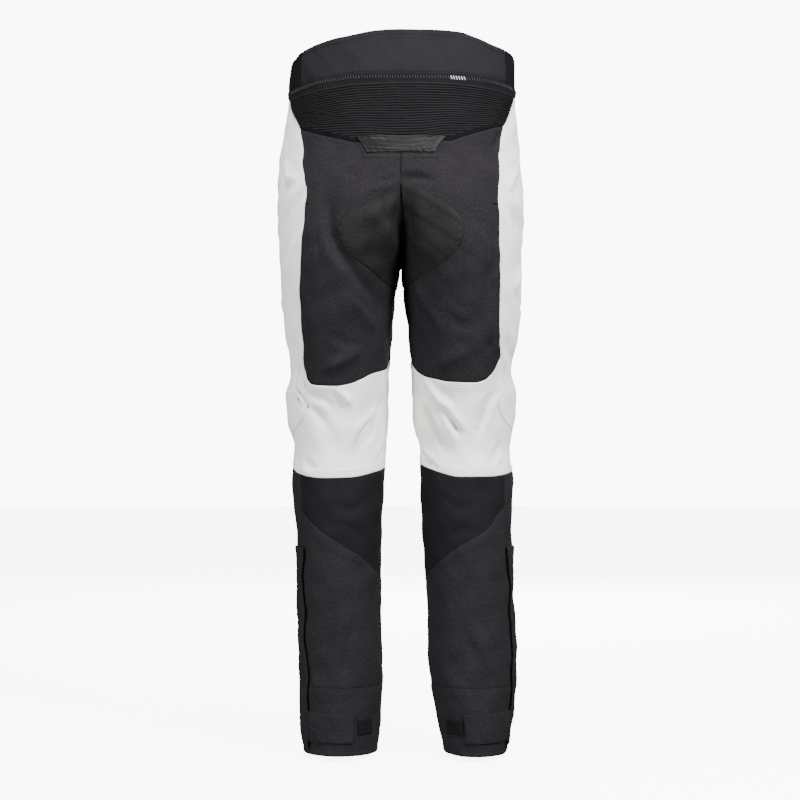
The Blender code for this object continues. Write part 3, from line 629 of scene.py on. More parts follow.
def piece_object(name, vertices, faces, materials):
    """A mesh object at the origin, with its place in its mesh."""
    mesh = bpy.data.meshes.new(name)
    mesh.from_pydata(vertices.tolist(), [], [list(map(int, face)) for face in faces])
    for item in materials:
        mesh.materials.append(item)
    mesh.shade_smooth()
    piece = bpy.data.objects.new(name, mesh)
    bpy.context.scene.collection.objects.link(piece)
    return piece


class Panel:
    """One finished sheet of cloth and what its sewing needs to know."""

    def __init__(self, name, points, turn, borders, thickness, lift, rise, side, centre):
        self.name = name
        self.turn = turn
        self.borders = borders
        self.hand = -SIGN[side] if side else -1
        self.distances = border_distances(points)
        # Painted shade: a mark from 0 to 1 where the cloth is darkened as if it lay in shade
        self.painted_shade = np.zeros(turn.shape)
        normals = grid_normals(points, self.hand)
        raised = lift + border_relief(self.distances, borders, turn) + rise
        self.outer = points + normals * raised[..., None]
        self.inner = points + normals * (lift - thickness)
        if side:
            for sheet in (self.outer, self.inner):
                sheet[..., 0] = np.maximum(sheet[..., 0] * SIGN[side], CENTRE_GAP) * SIGN[side]
                if centre is not None:
                    joined = sheet[:, centre, 2] > CROTCH_LEVEL
                    sheet[joined, centre, 0] = 0.0
        self.normals = grid_normals(self.outer, self.hand)

    def make(self, cloth, slot, held, rests_on, node):
        """The mesh object and its seam and border attributes; its area as a sheet is worked out but
        not kept.
        """
        rows, columns = self.outer.shape[:2]
        vertices = np.concatenate((self.outer.reshape(-1, 3), self.inner.reshape(-1, 3))) * MM
        flip = self.hand > 0
        outer = grid_faces(rows, columns, 0, not flip)
        inner = grid_faces(rows, columns, rows * columns, flip)
        faces = np.concatenate((outer, inner, rim_faces(rows, columns, not flip)))
        piece = piece_object(self.name, vertices, faces, (material(cloth), material("lining")))
        kinds = np.zeros(len(faces), np.int32)
        kinds[len(outer):len(outer) + len(inner)] = 1
        piece.data.polygons.foreach_set("material_index", kinds)
        self.give_weave_map(piece)
        self.give_marks(piece)
        area = np.linalg.norm(quad_areas(self.outer), axis=-1).sum() * MM * MM
        width = self.distances[2][:, -1].max() * MM
        length = self.distances[0][-1].max() * MM
        area = max(LEAST_SHARE, min(1.0, area / (width * length))) * width * length
        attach(piece, "root")
        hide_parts(node)

    def give_weave_map(self, piece):
        """Lay the cloth's own width and length out as a map in metres."""
        along = self.distances[2] - self.distances[2][:, -1:] / 2
        flat = np.stack((along, -self.distances[0]), axis=-1).reshape(-1, 2) * MM
        flat = np.concatenate((flat, flat))
        corners = np.empty(len(piece.data.loops), np.int32)
        piece.data.loops.foreach_get("vertex_index", corners)
        weave = piece.data.uv_layers.new(name="Weave")
        weave.data.foreach_set("uv", flat[corners].ravel())

    def give_marks(self, piece):
        """Mark how close each point is to a sewn border, and where painted shade darkens the cloth.
        """
        wear = np.exp(-(np.minimum.reduce(self.distances) / WEAR_REACH) ** 2)
        for name, values in (("wear", wear), ("painted_shade", self.painted_shade)):
            layer = piece.data.attributes.new(name, "FLOAT", "POINT")
            layer.data.foreach_set("value", np.tile(values.ravel(), 2))

    def stitch_lines(self):
        """Points and normals along each stitch row of the four borders."""
        lines = []
        for number, border in enumerate(self.borders):
            away, outer, normals, turn = self.distances[number], self.outer, self.normals, self.turn
            if number >= 2:
                away, turn = away.T, turn.T
                outer, normals = outer.transpose(1, 0, 2), normals.transpose(1, 0, 2)
            edge = turn[-1 if number % 2 else 0]
            sewn = (edge > border.turns[0] + 1) & (edge < border.turns[1] - 1)
            if sewn.sum() > 2:
                sides = away[:, sewn], outer[:, sewn], normals[:, sewn]
                lines += [line_at(*sides, row) for row in border.rows]
        return lines


def quad_areas(points):
    """Vector area of each cell of a grid."""
    first = points[1:, 1:] - points[:-1, :-1]
    second = points[1:, :-1] - points[:-1, 1:]
    return np.cross(first, second) / 2


def line_at(away, outer, normals, row):
    """The line that lies a fixed distance from a border, one point for each column."""
    line = []
    for column in range(away.shape[1]):
        order = np.argsort(away[:, column])
        run = away[order, column]
        line.append([on_line(row, run, values[order, column]) for values in (outer, normals)])
    return np.array(line).transpose(1, 0, 2)


def trimmed(line, start, end):
    """A line without its first and last millimetres."""
    run = run_lengths(line[0])
    inside = run[(run > start) & (run < run[-1] - end)]
    places = np.concatenate(([start], inside, [run[-1] - end]))
    return [on_line(places, run, values) for values in line]


def sew(name, lines, thread):
    """Rounded stitches of thread, end to end along each line, as one piece."""
    sizes = bpy.context.scene.trousers_sizes
    length = sizes.stitch_length / MM
    step = length + sizes.stitch_gap / MM
    radius = sizes.thread / MM / 2
    centres, axes, ups = [], [], []
    for points, normals in lines:
        run = run_lengths(points)
        count = int((run[-1] - 2) / step)
        if count < 1:
            continue
        middles = (run[-1] - count * step) / 2 + (np.arange(count) + 0.5) * step
        start, end = (on_line(middles + way * length / 2, run, points) for way in (-1, 1))
        centres.append((start + end) / 2)
        axes.append(end - start)
        ups.append(on_line(middles, run, normals))
    centre, axis, up = (np.concatenate(part) for part in (centres, axes, ups))
    across = np.cross(up, axis)
    across /= np.linalg.norm(across, axis=1, keepdims=True)
    over = np.cross(axis, across)
    over /= np.linalg.norm(over, axis=1, keepdims=True)
    rings = []
    for along, size, rise in STITCH_RINGS:
        for angle in np.arange(STITCH_SIDES) * 2 * math.pi / STITCH_SIDES:
            rings.append(
                centre + axis * along + across * (radius * size * math.cos(angle))
                + over * (radius * (size * math.sin(angle) + rise))
            )
    vertices = np.stack(rings, axis=1)
    last = (len(STITCH_RINGS) - 1) * STITCH_SIDES
    faces = []
    for low in range(0, last, STITCH_SIDES):
        high = low + STITCH_SIDES
        for k in range(STITCH_SIDES):
            after = (k + 1) % STITCH_SIDES
            faces.append((low + k, low + after, high + after, high + k))
    faces += [range(STITCH_SIDES)[::-1], range(last, last + STITCH_SIDES)]
    size = vertices.shape[1]
    every = [[v + i * size for v in face] for i in range(len(vertices)) for face in faces]
    piece = piece_object(name, vertices.reshape(-1, 3) * MM, every, (material(thread),))
    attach(piece, "root")


def copies(name, template, places, cloth):
    """Copies of one small piece at (centre, along, out) places, all in one mesh."""
    shape = np.array([vertex.co for vertex in template.data.vertices])
    quads = [tuple(face.vertices) for face in template.data.polygons]
    vertices, faces = [], []
    for centre, along, out in places:
        along = Vector(along).normalized()
        out = Vector(out)
        out = (out - along * out.dot(along)).normalized()
        turn = np.array((along, out.cross(along), out))
        offset = len(vertices) * len(shape)
        vertices.append(shape @ turn + np.array(centre) * MM)
        faces += [[v + offset for v in quad] for quad in quads]
    bpy.data.objects.remove(template, do_unlink=True)
    piece = piece_object(name, np.concatenate(vertices), faces, (material(cloth),))
    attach(piece, "root")


def both(name, side):
    """The name of a side's own piece or node; without a side it stays as it is."""
    return f"{name}_{side.capitalize()}" if side else name


def panel(piece, side, lines, first, last, borders, cloth, rests_on, node=None, slot=None,
          thickness=SHELL, lift=0.0, held="hung", fineness=1.0, rows=None, shape=None, painted_shade=None,
          centre=None, named=True):
    """Model one panel of a side, or without a side one across the centre, and return it."""
    cell = bpy.context.scene.trousers_sizes.cell / MM * fineness
    points, turn, height = panel_points(side, lines, first, last, cell, rows)
    rise = shape(border_distances(points), turn, height) if shape else 0.0
    own = side if named else None
    name = both(f"Cloth_{piece}", own)
    made = Panel(name, points, turn, borders, thickness, lift, rise, side, centre)
    # Painted shade: where the cloth is darkened as if it lay in shade
    if painted_shade:
        made.painted_shade = painted_shade(turn, height, rise)
    made.make(cloth, slot or cloth, held, rests_on, both(node or piece, own))
    return made


class Looks:
    """Node-building shorthand for one material."""

    def __init__(self, name):
        self.material = bpy.data.materials.new(name)
        self.material.use_nodes = True
        self.nodes = self.material.node_tree.nodes
        self.links = self.material.node_tree.links
        self.shader = self.nodes["Principled BSDF"]
        self.map = self.nodes.new("ShaderNodeUVMap").outputs["UV"]
        self.place = self.nodes.new("ShaderNodeTexCoord").outputs["Object"]

    def put(self, node, socket, value):
        """Link or set one input of a node."""
        target = node.inputs[socket]
        if isinstance(value, bpy.types.NodeSocket):
            self.links.new(value, target)
        else:
            target.default_value = value

    def math(self, operation, first, second=0.0, third=0.0):
        """The result of one sum."""
        node = self.nodes.new("ShaderNodeMath")
        node.operation = operation
        for socket, value in enumerate((first, second, third)):
            self.put(node, socket, value)
        return node.outputs[0]

    def mottle(self, tone, cloud, amount):
        """A tone with soft mottling added."""
        return self.math("MULTIPLY_ADD", self.math("SUBTRACT", cloud, 0.5), amount, tone)

    def stretched(self, vector, scale):
        """A map stretched by a scale on each axis."""
        node = self.nodes.new("ShaderNodeMapping")
        self.put(node, "Vector", vector)
        self.put(node, "Scale", scale)
        return node.outputs[0]

    def bands(self, vector, pitch, direction, distortion=0.6):
        """Threads a fixed pitch apart, in metres."""
        node = self.nodes.new("ShaderNodeTexWave")
        node.bands_direction = direction
        self.put(node, "Vector", vector)
        self.put(node, "Scale", math.pi / 10 / pitch)
        self.put(node, "Distortion", distortion)
        self.put(node, "Detail", 1.0)
        self.put(node, "Detail Scale", 0.6)
        return node.outputs["Fac"]

    def noise(self, vector, size, detail=2.0):
        """Mottling of a given size, in metres."""
        node = self.nodes.new("ShaderNodeTexNoise")
        self.put(node, "Vector", vector)
        self.put(node, "Scale", 1 / size)
        self.put(node, "Detail", detail)
        return node.outputs["Fac"]

    def between(self, factor, low, high):
        """A number from low to high as the factor goes from 0 to 1."""
        node = self.nodes.new("ShaderNodeMapRange")
        self.put(node, "Value", factor)
        self.put(node, "To Min", low)
        self.put(node, "To Max", high)
        return node.outputs["Result"]

    def blend(self, factor, first, second):
        """A colour between two colours."""
        node = self.nodes.new("ShaderNodeMix")
        node.data_type = "RGBA"
        self.put(node, 0, factor)
        self.put(node, 6, first)
        self.put(node, 7, second)
        return node.outputs[2]

    def mark(self, name):
        """A panel's own mark, from 0 to 1: near a sewn border, or where painted shade darkens it."""
        node = self.nodes.new("ShaderNodeAttribute")
        node.attribute_name = name
        return node.outputs["Fac"]

    def finish(self, colour, roughness, height, depth, metallic=0.0, specular=0.03):
        """Set the shader from the finished colour, roughness and surface height."""
        bump = self.nodes.new("ShaderNodeBump")
        self.put(bump, "Height", height)
        bump.inputs["Distance"].default_value = depth
        bump.inputs["Strength"].default_value = 1.0
        self.put(self.shader, "Base Color", colour)
        self.put(self.shader, "Roughness", roughness)
        self.links.new(bump.outputs["Normal"], self.shader.inputs["Normal"])
        self.shader.inputs["Metallic"].default_value = metallic
        self.shader.inputs["Specular IOR Level"].default_value = specular


def shade(colour, factor):
    """A lighter or darker tone of a colour."""
    return (*(min(1.0, channel * factor) for channel in colour), 1.0)


def woven(name, colour, pitch=0.0009, contrast=0.28, depth=0.0001):
    """Plain-woven cloth: warp and weft threads, heather, soft mottling, worn seams and painted
    shade.
    """
    looks = Looks(name)
    warp = looks.bands(looks.map, pitch, "X")
    weft = looks.bands(looks.map, pitch * 1.15, "Y")
    grain = looks.noise(looks.map, pitch * 1.6, 3.0)
    slub = looks.noise(looks.map, 0.0034, 2.0)
    cloud = looks.noise(looks.place, 0.035, 3.0)
    weave = looks.math("MAXIMUM", warp, looks.math("MULTIPLY", weft, 0.9))
    height = looks.math("MULTIPLY_ADD", grain, 0.55, weave)
    tone = looks.math("MULTIPLY_ADD", weave, 0.3, looks.math("MULTIPLY_ADD", grain, 1.1, -0.35))
    tone = looks.mottle(tone, slub, 0.9)
    tone = looks.mottle(tone, cloud, 0.35)
    base = looks.blend(tone, shade(colour, 1 - contrast), shade(colour, 1 + contrast))
    worn_or_glinting = looks.math("MULTIPLY", looks.mark("wear"), looks.between(cloud, 0.1, 0.55))
    base = looks.blend(worn_or_glinting, base, shade(colour, 0.72))
    # Painted shade: near black where the panel marks the cloth as lying in shade
    base = looks.blend(looks.mark("painted_shade"), base, shade(colour, 0.12))
    rough = looks.math("ADD", grain, looks.math("MULTIPLY", cloud, 0.4))
    looks.finish(base, looks.between(rough, 0.72, 0.92), height, depth)


def stretch_knit(name, colour):
    """Fine knitted stretch cloth with upright wales, and painted shade where a panel marks it."""
    looks = Looks(name)
    wales = looks.bands(looks.map, 0.0011, "X", 0.4)
    courses = looks.bands(looks.map, 0.0016, "Y", 1.2)
    grain = looks.noise(looks.map, 0.0014, 2.0)
    cloud = looks.noise(looks.place, 0.03, 2.0)
    height = looks.math("MULTIPLY_ADD", courses, 0.35, wales)
    tone = looks.math("MULTIPLY_ADD", height, 0.4, looks.math("MULTIPLY", grain, 0.5))
    tone = looks.mottle(tone, cloud, 0.5)
    base = looks.blend(tone, shade(colour, 0.7), shade(colour, 1.3))
    # Painted shade: near black where the panel marks the knit as lying in shade
    base = looks.blend(looks.mark("painted_shade"), base, shade(colour, 0.12))
    looks.finish(base, looks.between(grain, 0.78, 0.95), height, 0.00012, specular=0.02)


def grip_cloth(name, colour):
    """Coated grip cloth with a fine pebbled face."""
    looks = Looks(name)
    pebbles = looks.nodes.new("ShaderNodeTexVoronoi")
    looks.put(pebbles, "Vector", looks.map)
    looks.put(pebbles, "Scale", 1 / 0.0022)
    pebble = looks.math("SUBTRACT", 1.0, pebbles.outputs["Distance"])
    grain = looks.noise(looks.map, 0.001, 2.0)
    cloud = looks.noise(looks.place, 0.02, 3.0)
    tone = looks.mottle(looks.math("MULTIPLY", pebble, 0.7), cloud, 0.9)
    base = looks.blend(tone, shade(colour, 0.7), shade(colour, 1.4))
    height = looks.math("MULTIPLY_ADD", grain, 0.4, pebble)
    looks.finish(base, looks.between(grain, 0.55, 0.8), height, 0.0003, specular=0.08)


def streaked(name, colour):
    """Smooth cloth with a slight sheen and fine streaks across it."""
    looks = Looks(name)
    streaks = looks.noise(looks.stretched(looks.map, (30.0, 900.0, 1.0)), 1.0, 3.0)
    cloud = looks.noise(looks.place, 0.02, 2.0)
    tone = looks.math("MULTIPLY_ADD", cloud, 0.5, looks.math("MULTIPLY", streaks, 0.6))
    base = looks.blend(tone, shade(colour, 0.8), shade(colour, 1.22))
    looks.finish(base, looks.between(streaks, 0.42, 0.56), streaks, 0.00005, specular=0.12)


def hook_and_loop(name, colour):
    """Fuzzy pile of loop tape."""
    looks = Looks(name)
    size = 0.0015
    pile = looks.noise(looks.map, size, 4.0)
    tufts = looks.noise(looks.map, size * 3.5, 2.0)
    height = looks.math("MULTIPLY_ADD", tufts, 0.6, pile)
    base = looks.blend(height, shade(colour, 0.45), shade(colour, 1.45))
    looks.finish(base, 0.95, height, 0.0006, specular=0.01)


def elastic_web(name, colour):
    """Woven elastic with upright cords and a rough face."""
    looks = Looks(name)
    cords = looks.bands(looks.map, 0.0024, "X", 1.5)
    pile = looks.noise(looks.map, 0.0013, 4.0)
    height = looks.math("MULTIPLY_ADD", pile, 0.8, cords)
    tone = looks.math("MULTIPLY_ADD", cords, 0.4, looks.math("MULTIPLY", pile, 0.6))
    base = looks.blend(tone, shade(colour, 0.5), shade(colour, 1.5))
    looks.finish(base, looks.between(pile, 0.8, 0.98), height, 0.0003, specular=0.03)


def plastic(name, colour):
    """Moulded plastic of the zip teeth, rubbed on its edges."""
    looks = Looks(name)
    rub = looks.noise(looks.place, 0.004, 3.0)
    fine = looks.noise(looks.place, 0.0006, 2.0)
    base = looks.blend(rub, shade(colour, 0.5), shade(colour, 1.1))
    looks.finish(base, looks.between(rub, 0.25, 0.4), fine, 0.00001, specular=0.08)


def lacquered_metal(name, colour):
    """Dark lacquered metal with fine rubbed marks."""
    looks = Looks(name)
    rub = looks.noise(looks.place, 0.003, 4.0)
    base = looks.blend(rub, shade(colour, 0.8), shade(colour, 1.5))
    rough = looks.between(rub, 0.25, 0.45)
    looks.finish(base, rough, rub, 0.00005, metallic=0.7, specular=0.5)


def thread(name, colour, tone=1.0):
    """Twisted sewing thread, in a darker tone of its colour where that is given."""
    looks = Looks(name)
    colour = shade(colour, tone)[:3]
    twist = looks.noise(looks.place, 0.0004, 2.0)
    cloud = looks.noise(looks.place, 0.02, 2.0)
    mixed = looks.math("MULTIPLY_ADD", cloud, 0.5, looks.math("MULTIPLY", twist, 0.5))
    base = looks.blend(mixed, shade(colour, 0.8), shade(colour, 1.25))
    looks.finish(base, 0.6, twist, 0.00004, specular=0.1)


# Each finish: what makes it, its colour setting and what else its maker is given
FINISHES = {
    "black_shell": (woven, "black_shell", {"contrast": 0.55}),
    "waist_cloth": (woven, "waist_cloth", {"pitch": 0.0007, "contrast": 0.2, "depth": 0.00008}),
    "light_shell": (woven, "light_shell", {"contrast": 0.07}),
    "stretch": (stretch_knit, "stretch", {}),
    "rib_knit": (stretch_knit, "rib_knit", {}),
    "lining": (stretch_knit, "lining", {}),
    "grip": (grip_cloth, "grip", {}),
    "sheen_patch": (streaked, "sheen_patch", {}),
    "loop": (hook_and_loop, "elastic", {}),
    "elastic": (elastic_web, "elastic", {}),
    "zip_tape": (woven, "zip_tape", {"pitch": 0.0006, "contrast": 0.2, "depth": 0.00006}),
    "zip_teeth": (plastic, "zip_teeth", {}),
    # Painted glint: a light finish for the few zip teeth where the lamp's reflection falls
    "rubbed_teeth": (plastic, "rubbed_teeth", {}),
    "stud_metal": (lacquered_metal, "stud_metal", {}),
    "dark_thread": (thread, "dark_thread", {}),
    "black_thread": (thread, "zip_tape", {"tone": 0.4}),
    "light_thread": (thread, "light_thread", {}),
}


def material(name):
    """The finish of that name, made the first time that it is asked for."""
    full_name = f"{name}_finish"
    if full_name not in bpy.data.materials:
        make, setting, options = FINISHES[name]
        make(full_name, tuple(getattr(bpy.context.scene.trousers_colours, setting)), **options)
    return bpy.data.materials[full_name]


def colour_property(name, description, red, green, blue):
    """A colour setting; its default is in display values from 0 to 255."""
    default = [((value / 255 + 0.055) / 1.055) ** 2.4 for value in (red, green, blue)]
    return bpy.props.FloatVectorProperty(
        name=name, description=description, subtype="COLOR", size=3, min=0.0, max=1.0,
        default=default,
    )


def length_property(name, description, default):
    """A length setting, in metres."""
    return bpy.props.FloatProperty(
        name=name, description=description, unit="LENGTH", default=default, min=0.0001, max=1.0,
        precision=5,
    )


class TrousersSizes(bpy.types.PropertyGroup):
    """Sizes that a user would change."""

    cell: length_property("Cloth cell", "Size of the cells of the cloth meshes", 0.004)
    crease_depth: bpy.props.FloatProperty(
        name="Crease depth", description="Depth of the narrow creases", default=1.0, min=0.0,
        max=2.0,
    )
    stitch_length: length_property("Stitch length", "Length of one stitch", 0.0028)
    stitch_gap: length_property("Stitch gap", "Gap between two stitches", 0.0009)
    thread: length_property("Thread", "Thickness of the sewing thread", 0.0008)
    tooth_pitch: length_property("Tooth pitch", "Distance between two zip teeth", 0.0041)
    rib_height: length_property("Rib height", "Height of a rib of the waist panel", 0.0019)


class TrousersColours(bpy.types.PropertyGroup):
    """Colours that a user would change."""

    black_shell: colour_property("Black shell", "Cloth of the thighs and lower legs", 31, 29.5, 32)
    waist_cloth: colour_property("Waistband", "Cloth of the waistband", 28.5, 27.5, 30)
    light_shell: colour_property("Light shell", "Cloth of the side and knee panels", 217, 216, 213)
    stretch: colour_property("Stretch", "Knit of the calves", 21, 20, 22)
    rib_knit: colour_property("Ribs", "Knit of the ribbed waist panel", 29, 28, 30)
    lining: colour_property("Lining", "Knit of the inside", 40, 40, 42)
    grip: colour_property("Grip", "Coated cloth of the seat patches", 22, 22, 22)
    sheen_patch: colour_property("Centre patch", "Cloth of the patch under the ribs", 15, 14.5, 15)
    elastic: colour_property("Elastic", "Elastic, tabs and loop tape", 17, 16.5, 18)
    zip_tape: colour_property("Zip tape", "Tape of the connection zip", 20, 19, 21)
    zip_teeth: colour_property("Zip teeth", "Moulded teeth of the connection zip", 40, 40, 42)
    # Painted glint: zip teeth given a light colour where the lamp's reflection falls
    rubbed_teeth: colour_property("Rubbed teeth", "Zip teeth painted light as a glint", 168, 168, 170)
    stud_metal: colour_property("Press stud", "Metal of the press stud", 60, 60, 62)
    dark_thread: colour_property("Dark thread", "Thread on the black cloth", 30, 29, 31)
    light_thread: colour_property("Light thread", "Thread on the light cloth", 178, 177, 175)


class PieceOperator:
    """What the operators of this file share."""

    bl_options = {"REGISTER", "UNDO"}


class TROUSERS_OT_waistband(PieceOperator, bpy.types.Operator):
    """Make the tall back band, its elastic side sections and the front band"""

    bl_idname = "trousers.waistband"
    bl_label = "Waistband"

    def execute(self, context):
        lines_between = waist_top, band_bottom
        borders = Border(0.6, 1.1, (7.5,)), Border(0.5, 0.3, (3.5,)), SEAM, SEAM
        elastic_borders = Border(0.3, 0.6, (3.0,)), Border(0.3, 0.4, (3.0,)), SEAM, SEAM
        made = [panel(
            "Waistband_Back", None, lines_between, at_turn(BACK), elastic_back_end, borders,
            "waist_cloth", ["Rib_Panel"], thickness=WAISTBAND_THICK, shape=self.padding,
            fineness=0.8,
        )]
        for side in SIDES:
            rests_on = [both("Front_Thigh", side)]
            made.append(panel(
                "Elastic", side, lines_between, elastic_back_end, elastic_front_end,
                elastic_borders, "elastic", rests_on, node="Waistband_Elastic",
                thickness=WAISTBAND_THICK, shape=self.gathers, held="stretched", fineness=0.55,
            ))
            made.append(panel(
                "Waistband_Front", side, lines_between, elastic_front_end, at_turn(FRONT), borders,
                "waist_cloth", rests_on, thickness=WAISTBAND_THICK, centre=-1,
            ))
        lines = [line for part in made for line in part.stitch_lines()]
        sew("Stitches_Waistband", lines, "black_thread")
        return {"FINISHED"}

    @staticmethod
    def padding(distances, *_):
        """Soft hollows along the band between its rows of sewing."""
        down, up, along, _ = distances
        body = np.clip(down / 14, 0, 1) * np.clip(up / 10, 0, 1)
        wave = np.sin(along / 21 + 1.2 * np.sin(along / 33)) + 0.6 * np.sin(along / 9.5 + down / 14)
        return body * (1.0 + 0.45 * wave)

    @staticmethod
    def gathers(distances, *_):
        """Upright gathers of the elastic, 5.2 mm apart."""
        down, up, along, _ = distances
        body = np.clip(down / 5, 0.2, 1) * np.clip(up / 5, 0.2, 1)
        return body * (0.9 * np.sin(along * 2 * math.pi / 5.2 + 0.8 * np.sin(down / 9)) + 0.4)


def rounded(piece, width, segments):
    """Round the edges of the active piece."""
    bevel = piece.modifiers.new("Rounding", "BEVEL")
    bevel.width = width
    bevel.segments = segments
    bpy.ops.object.modifier_apply(modifier=bevel.name)


class TROUSERS_OT_press_stud(PieceOperator, bpy.types.Operator):
    """Make the press stud of the front band, a cap with a raised rim and a hollow centre"""

    bl_idname = "trousers.press_stud"
    bl_label = "Press Stud"

    radius = 0.0074
    height = 0.0022
    # Each inset of the cap's face: how wide, and how far up
    insets = ((0.0011, 0.0), (0.0008, -0.0007), (0.0016, 0.0), (0.0008, 0.0004))
    rounding = 0.0003

    def execute(self, context):
        low, high = (Vector(corner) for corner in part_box("Waist_Stud"))
        middle = (low + high) / 2
        bpy.ops.object.select_all(action="DESELECT")
        bpy.ops.mesh.primitive_cylinder_add(
            vertices=32, radius=self.radius, depth=self.height, location=(0, 0, 0)
        )
        stud = context.active_object
        bpy.ops.object.mode_set(mode="EDIT")
        bpy.ops.mesh.select_all(action="DESELECT")
        bpy.ops.object.mode_set(mode="OBJECT")
        for face in stud.data.polygons:
            face.select = face.normal.z > 0.9
        bpy.ops.object.mode_set(mode="EDIT")
        for thickness, depth in self.insets:
            bpy.ops.mesh.inset(thickness=thickness, depth=depth)
        bpy.ops.object.mode_set(mode="OBJECT")
        rounded(stud, self.rounding, 2)
        bpy.ops.object.shade_smooth_by_angle(angle=math.radians(40))
        out = Vector((middle.x, middle.y, 0.0)).normalized()
        stud.rotation_mode = "QUATERNION"
        stud.rotation_quaternion = out.to_track_quat("Z", "Y")
        stud.location = middle
        bpy.ops.object.transform_apply(location=True, rotation=True, scale=True)
        stud.name = "Press_Stud"
        stud.data.materials.append(material("stud_metal"))
        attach(stud, "root")
        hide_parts("Waist_Stud")
        return {"FINISHED"}


class TROUSERS_OT_connection_zip(PieceOperator, bpy.types.Operator):
    """Make the tape and the slanted teeth of the connection zip"""

    bl_idname = "trousers.connection_zip"
    bl_label = "Connection Zip"

    # How far the teeth run below the band and start from the tape's ends, in millimetres. The
    # teeth between the last two places across the back are painted light, a painted glint.
    teeth_line = 5.0
    bare_end = 14.0
    glint_from = 69
    glint_to = 94

    # A tooth in metres, its slant, and how much wider and thinner its head is
    tooth_size = (0.0014, 0.0054, 0.0019)
    slant = 0.3
    head_width = 1.45
    head_height = 0.8

    def execute(self, context):
        tape = panel(
            "Zip_Tape", None, (band_bottom, below(rib_top, 1.5)), at_turn(BACK), outer_back_seam,
            (PLAIN, Border(0.2, 0.0, (1.6,)), EDGE, EDGE), "zip_tape", ["Rib_Panel"],
            node="Connection_Zip", thickness=TAPE_THICK, lift=1.0, shape=self.flare, fineness=0.7,
        )
        sew("Stitches_Zip", tape.stitch_lines(), "dark_thread")
        pitch = context.scene.trousers_sizes.tooth_pitch / MM
        line = line_at(tape.distances[0], tape.outer, tape.normals, self.teeth_line)
        points, ups = trimmed(line, self.bare_end, self.bare_end)
        run = run_lengths(points)
        teeth = {"Zip_Teeth": [], "Zip_Teeth_Painted_Glint": []}
        for number in range(int(run[-1] / pitch)):
            place = number * pitch
            here, after = (on_line(at, run, points) for at in (place, place + 1.0))
            up = on_line(place, run, ups)
            # Painted glint: the teeth in this stretch get a light finish, as if they caught the
            # lamp's reflection
            worn_or_glinting = self.glint_from < here[0] < self.glint_to
            teeth["Zip_Teeth_Painted_Glint" if worn_or_glinting else "Zip_Teeth"].append(
                (here + up * 0.5, after - here, up)
            )
        for (name, places), finish in zip(teeth.items(), ("zip_teeth", "rubbed_teeth")):
            copies(name, self.tooth(context), places, finish)
        return {"FINISHED"}

    @staticmethod
    def flare(distances, *_):
        """The tape's ends stand out from the sides."""
        _, _, along, back = distances
        return 2.6 * np.exp(-(np.minimum(along, back) / 6.0) ** 2)

    def tooth(self, context):
        """One moulded tooth: a slanted bar with a round head."""
        bpy.ops.object.select_all(action="DESELECT")
        bpy.ops.mesh.primitive_cube_add(size=1.0, location=(0, 0, 0))
        tooth = context.active_object
        tooth.scale = self.tooth_size
        bpy.ops.object.transform_apply(location=False, rotation=False, scale=True)
        for vertex in tooth.data.vertices:
            vertex.co.x -= self.slant * vertex.co.y
            if vertex.co.y < 0:
                vertex.co.x *= self.head_width
                vertex.co.z *= self.head_height
        rounded(tooth, 0.0004, 1)
        return tooth


class TROUSERS_OT_rib_panel(PieceOperator, bpy.types.Operator):
    """Make the ribbed stretch panel under the zip"""

    bl_idname = "trousers.rib_panel"
    bl_label = "Rib Panel"

    ribs = 20
    steps = 7
    flat_foot = 7.0

    def execute(self, context):
        foot = below(yoke, -self.flat_foot)
        rows = [
            np.linspace(0, 1, self.ribs * self.steps + 1),
            spread(self.flat_foot, 2.0, False, False),
        ]
        # The valleys between the ribs get painted shade
        panel(
            "Rib_Panel", None, (rib_top, foot, yoke), at_turn(BACK), outer_back_seam,
            (PLAIN, SEAM, SEAM, SEAM), "rib_knit", ["Back_Thigh_Left", "Back_Thigh_Right"],
            slot="stretch", thickness=RIB_CLOTH, shape=self.rib, painted_shade=self.valley_shade, rows=rows,
            held="stretched", fineness=0.6,
        )
        return {"FINISHED"}

    def rib(self, distances, *_):
        """Padded ribs along the top edge with tight valleys, cut off at the panel's foot."""
        rise = bpy.context.scene.trousers_sizes.rib_height / MM
        down, _, along, back = distances
        count = self.ribs * self.steps
        phase = down / down[count, down.shape[1] // 2] * self.ribs
        wave = np.abs(np.sin(math.pi * phase)) ** 1.5
        wave = np.where(np.arange(down.shape[0])[:, None] <= count, wave, 0.15)
        number = np.floor(phase)
        uneven = 1 + 0.16 * np.sin(along / 17 + 2.3 * number)
        uneven += 0.1 * np.sin(along / 6.1 + 4.1 * number)
        ends = np.clip(np.minimum(along, back) / 3.0, 0, 1)
        return rise * wave * uneven * ends

    @staticmethod
    def valley_shade(turn, height, rise):
        """Painted shade: the knit is darkened down between two ribs, where shade falls."""
        return 0.9 * np.clip(1 - rise / (0.6 * rise.max()), 0, 1)


class TROUSERS_OT_back_patch(PieceOperator, bpy.types.Operator):
    """Make the trapezoid patch under the ribs"""

    bl_idname = "trousers.back_patch"
    bl_label = "Centre Patch"

    top = -120.5
    foot = -145
    edge = staticmethod(side_curves(((foot, 104), (top, 111.5))))

    def execute(self, context):
        patch = panel(
            "Centre_Patch", None, (level(self.top), level(self.foot)), at_turn(BACK), self.edge,
            (EDGE,) * 4, "sheen_patch", ["Rib_Panel"], node="Back_Patch", thickness=PATCH_THICK,
            lift=3.0, held="laid", fineness=0.6, shape=self.ripples,
        )
        sew("Stitches_Centre_Patch", patch.stitch_lines(), "dark_thread")
        return {"FINISHED"}

    @staticmethod
    def ripples(distances, *_):
        """Fine ripples across the patch."""
        return 0.25 * np.sin(distances[0] / 1.1 + np.sin(distances[2] / 14))


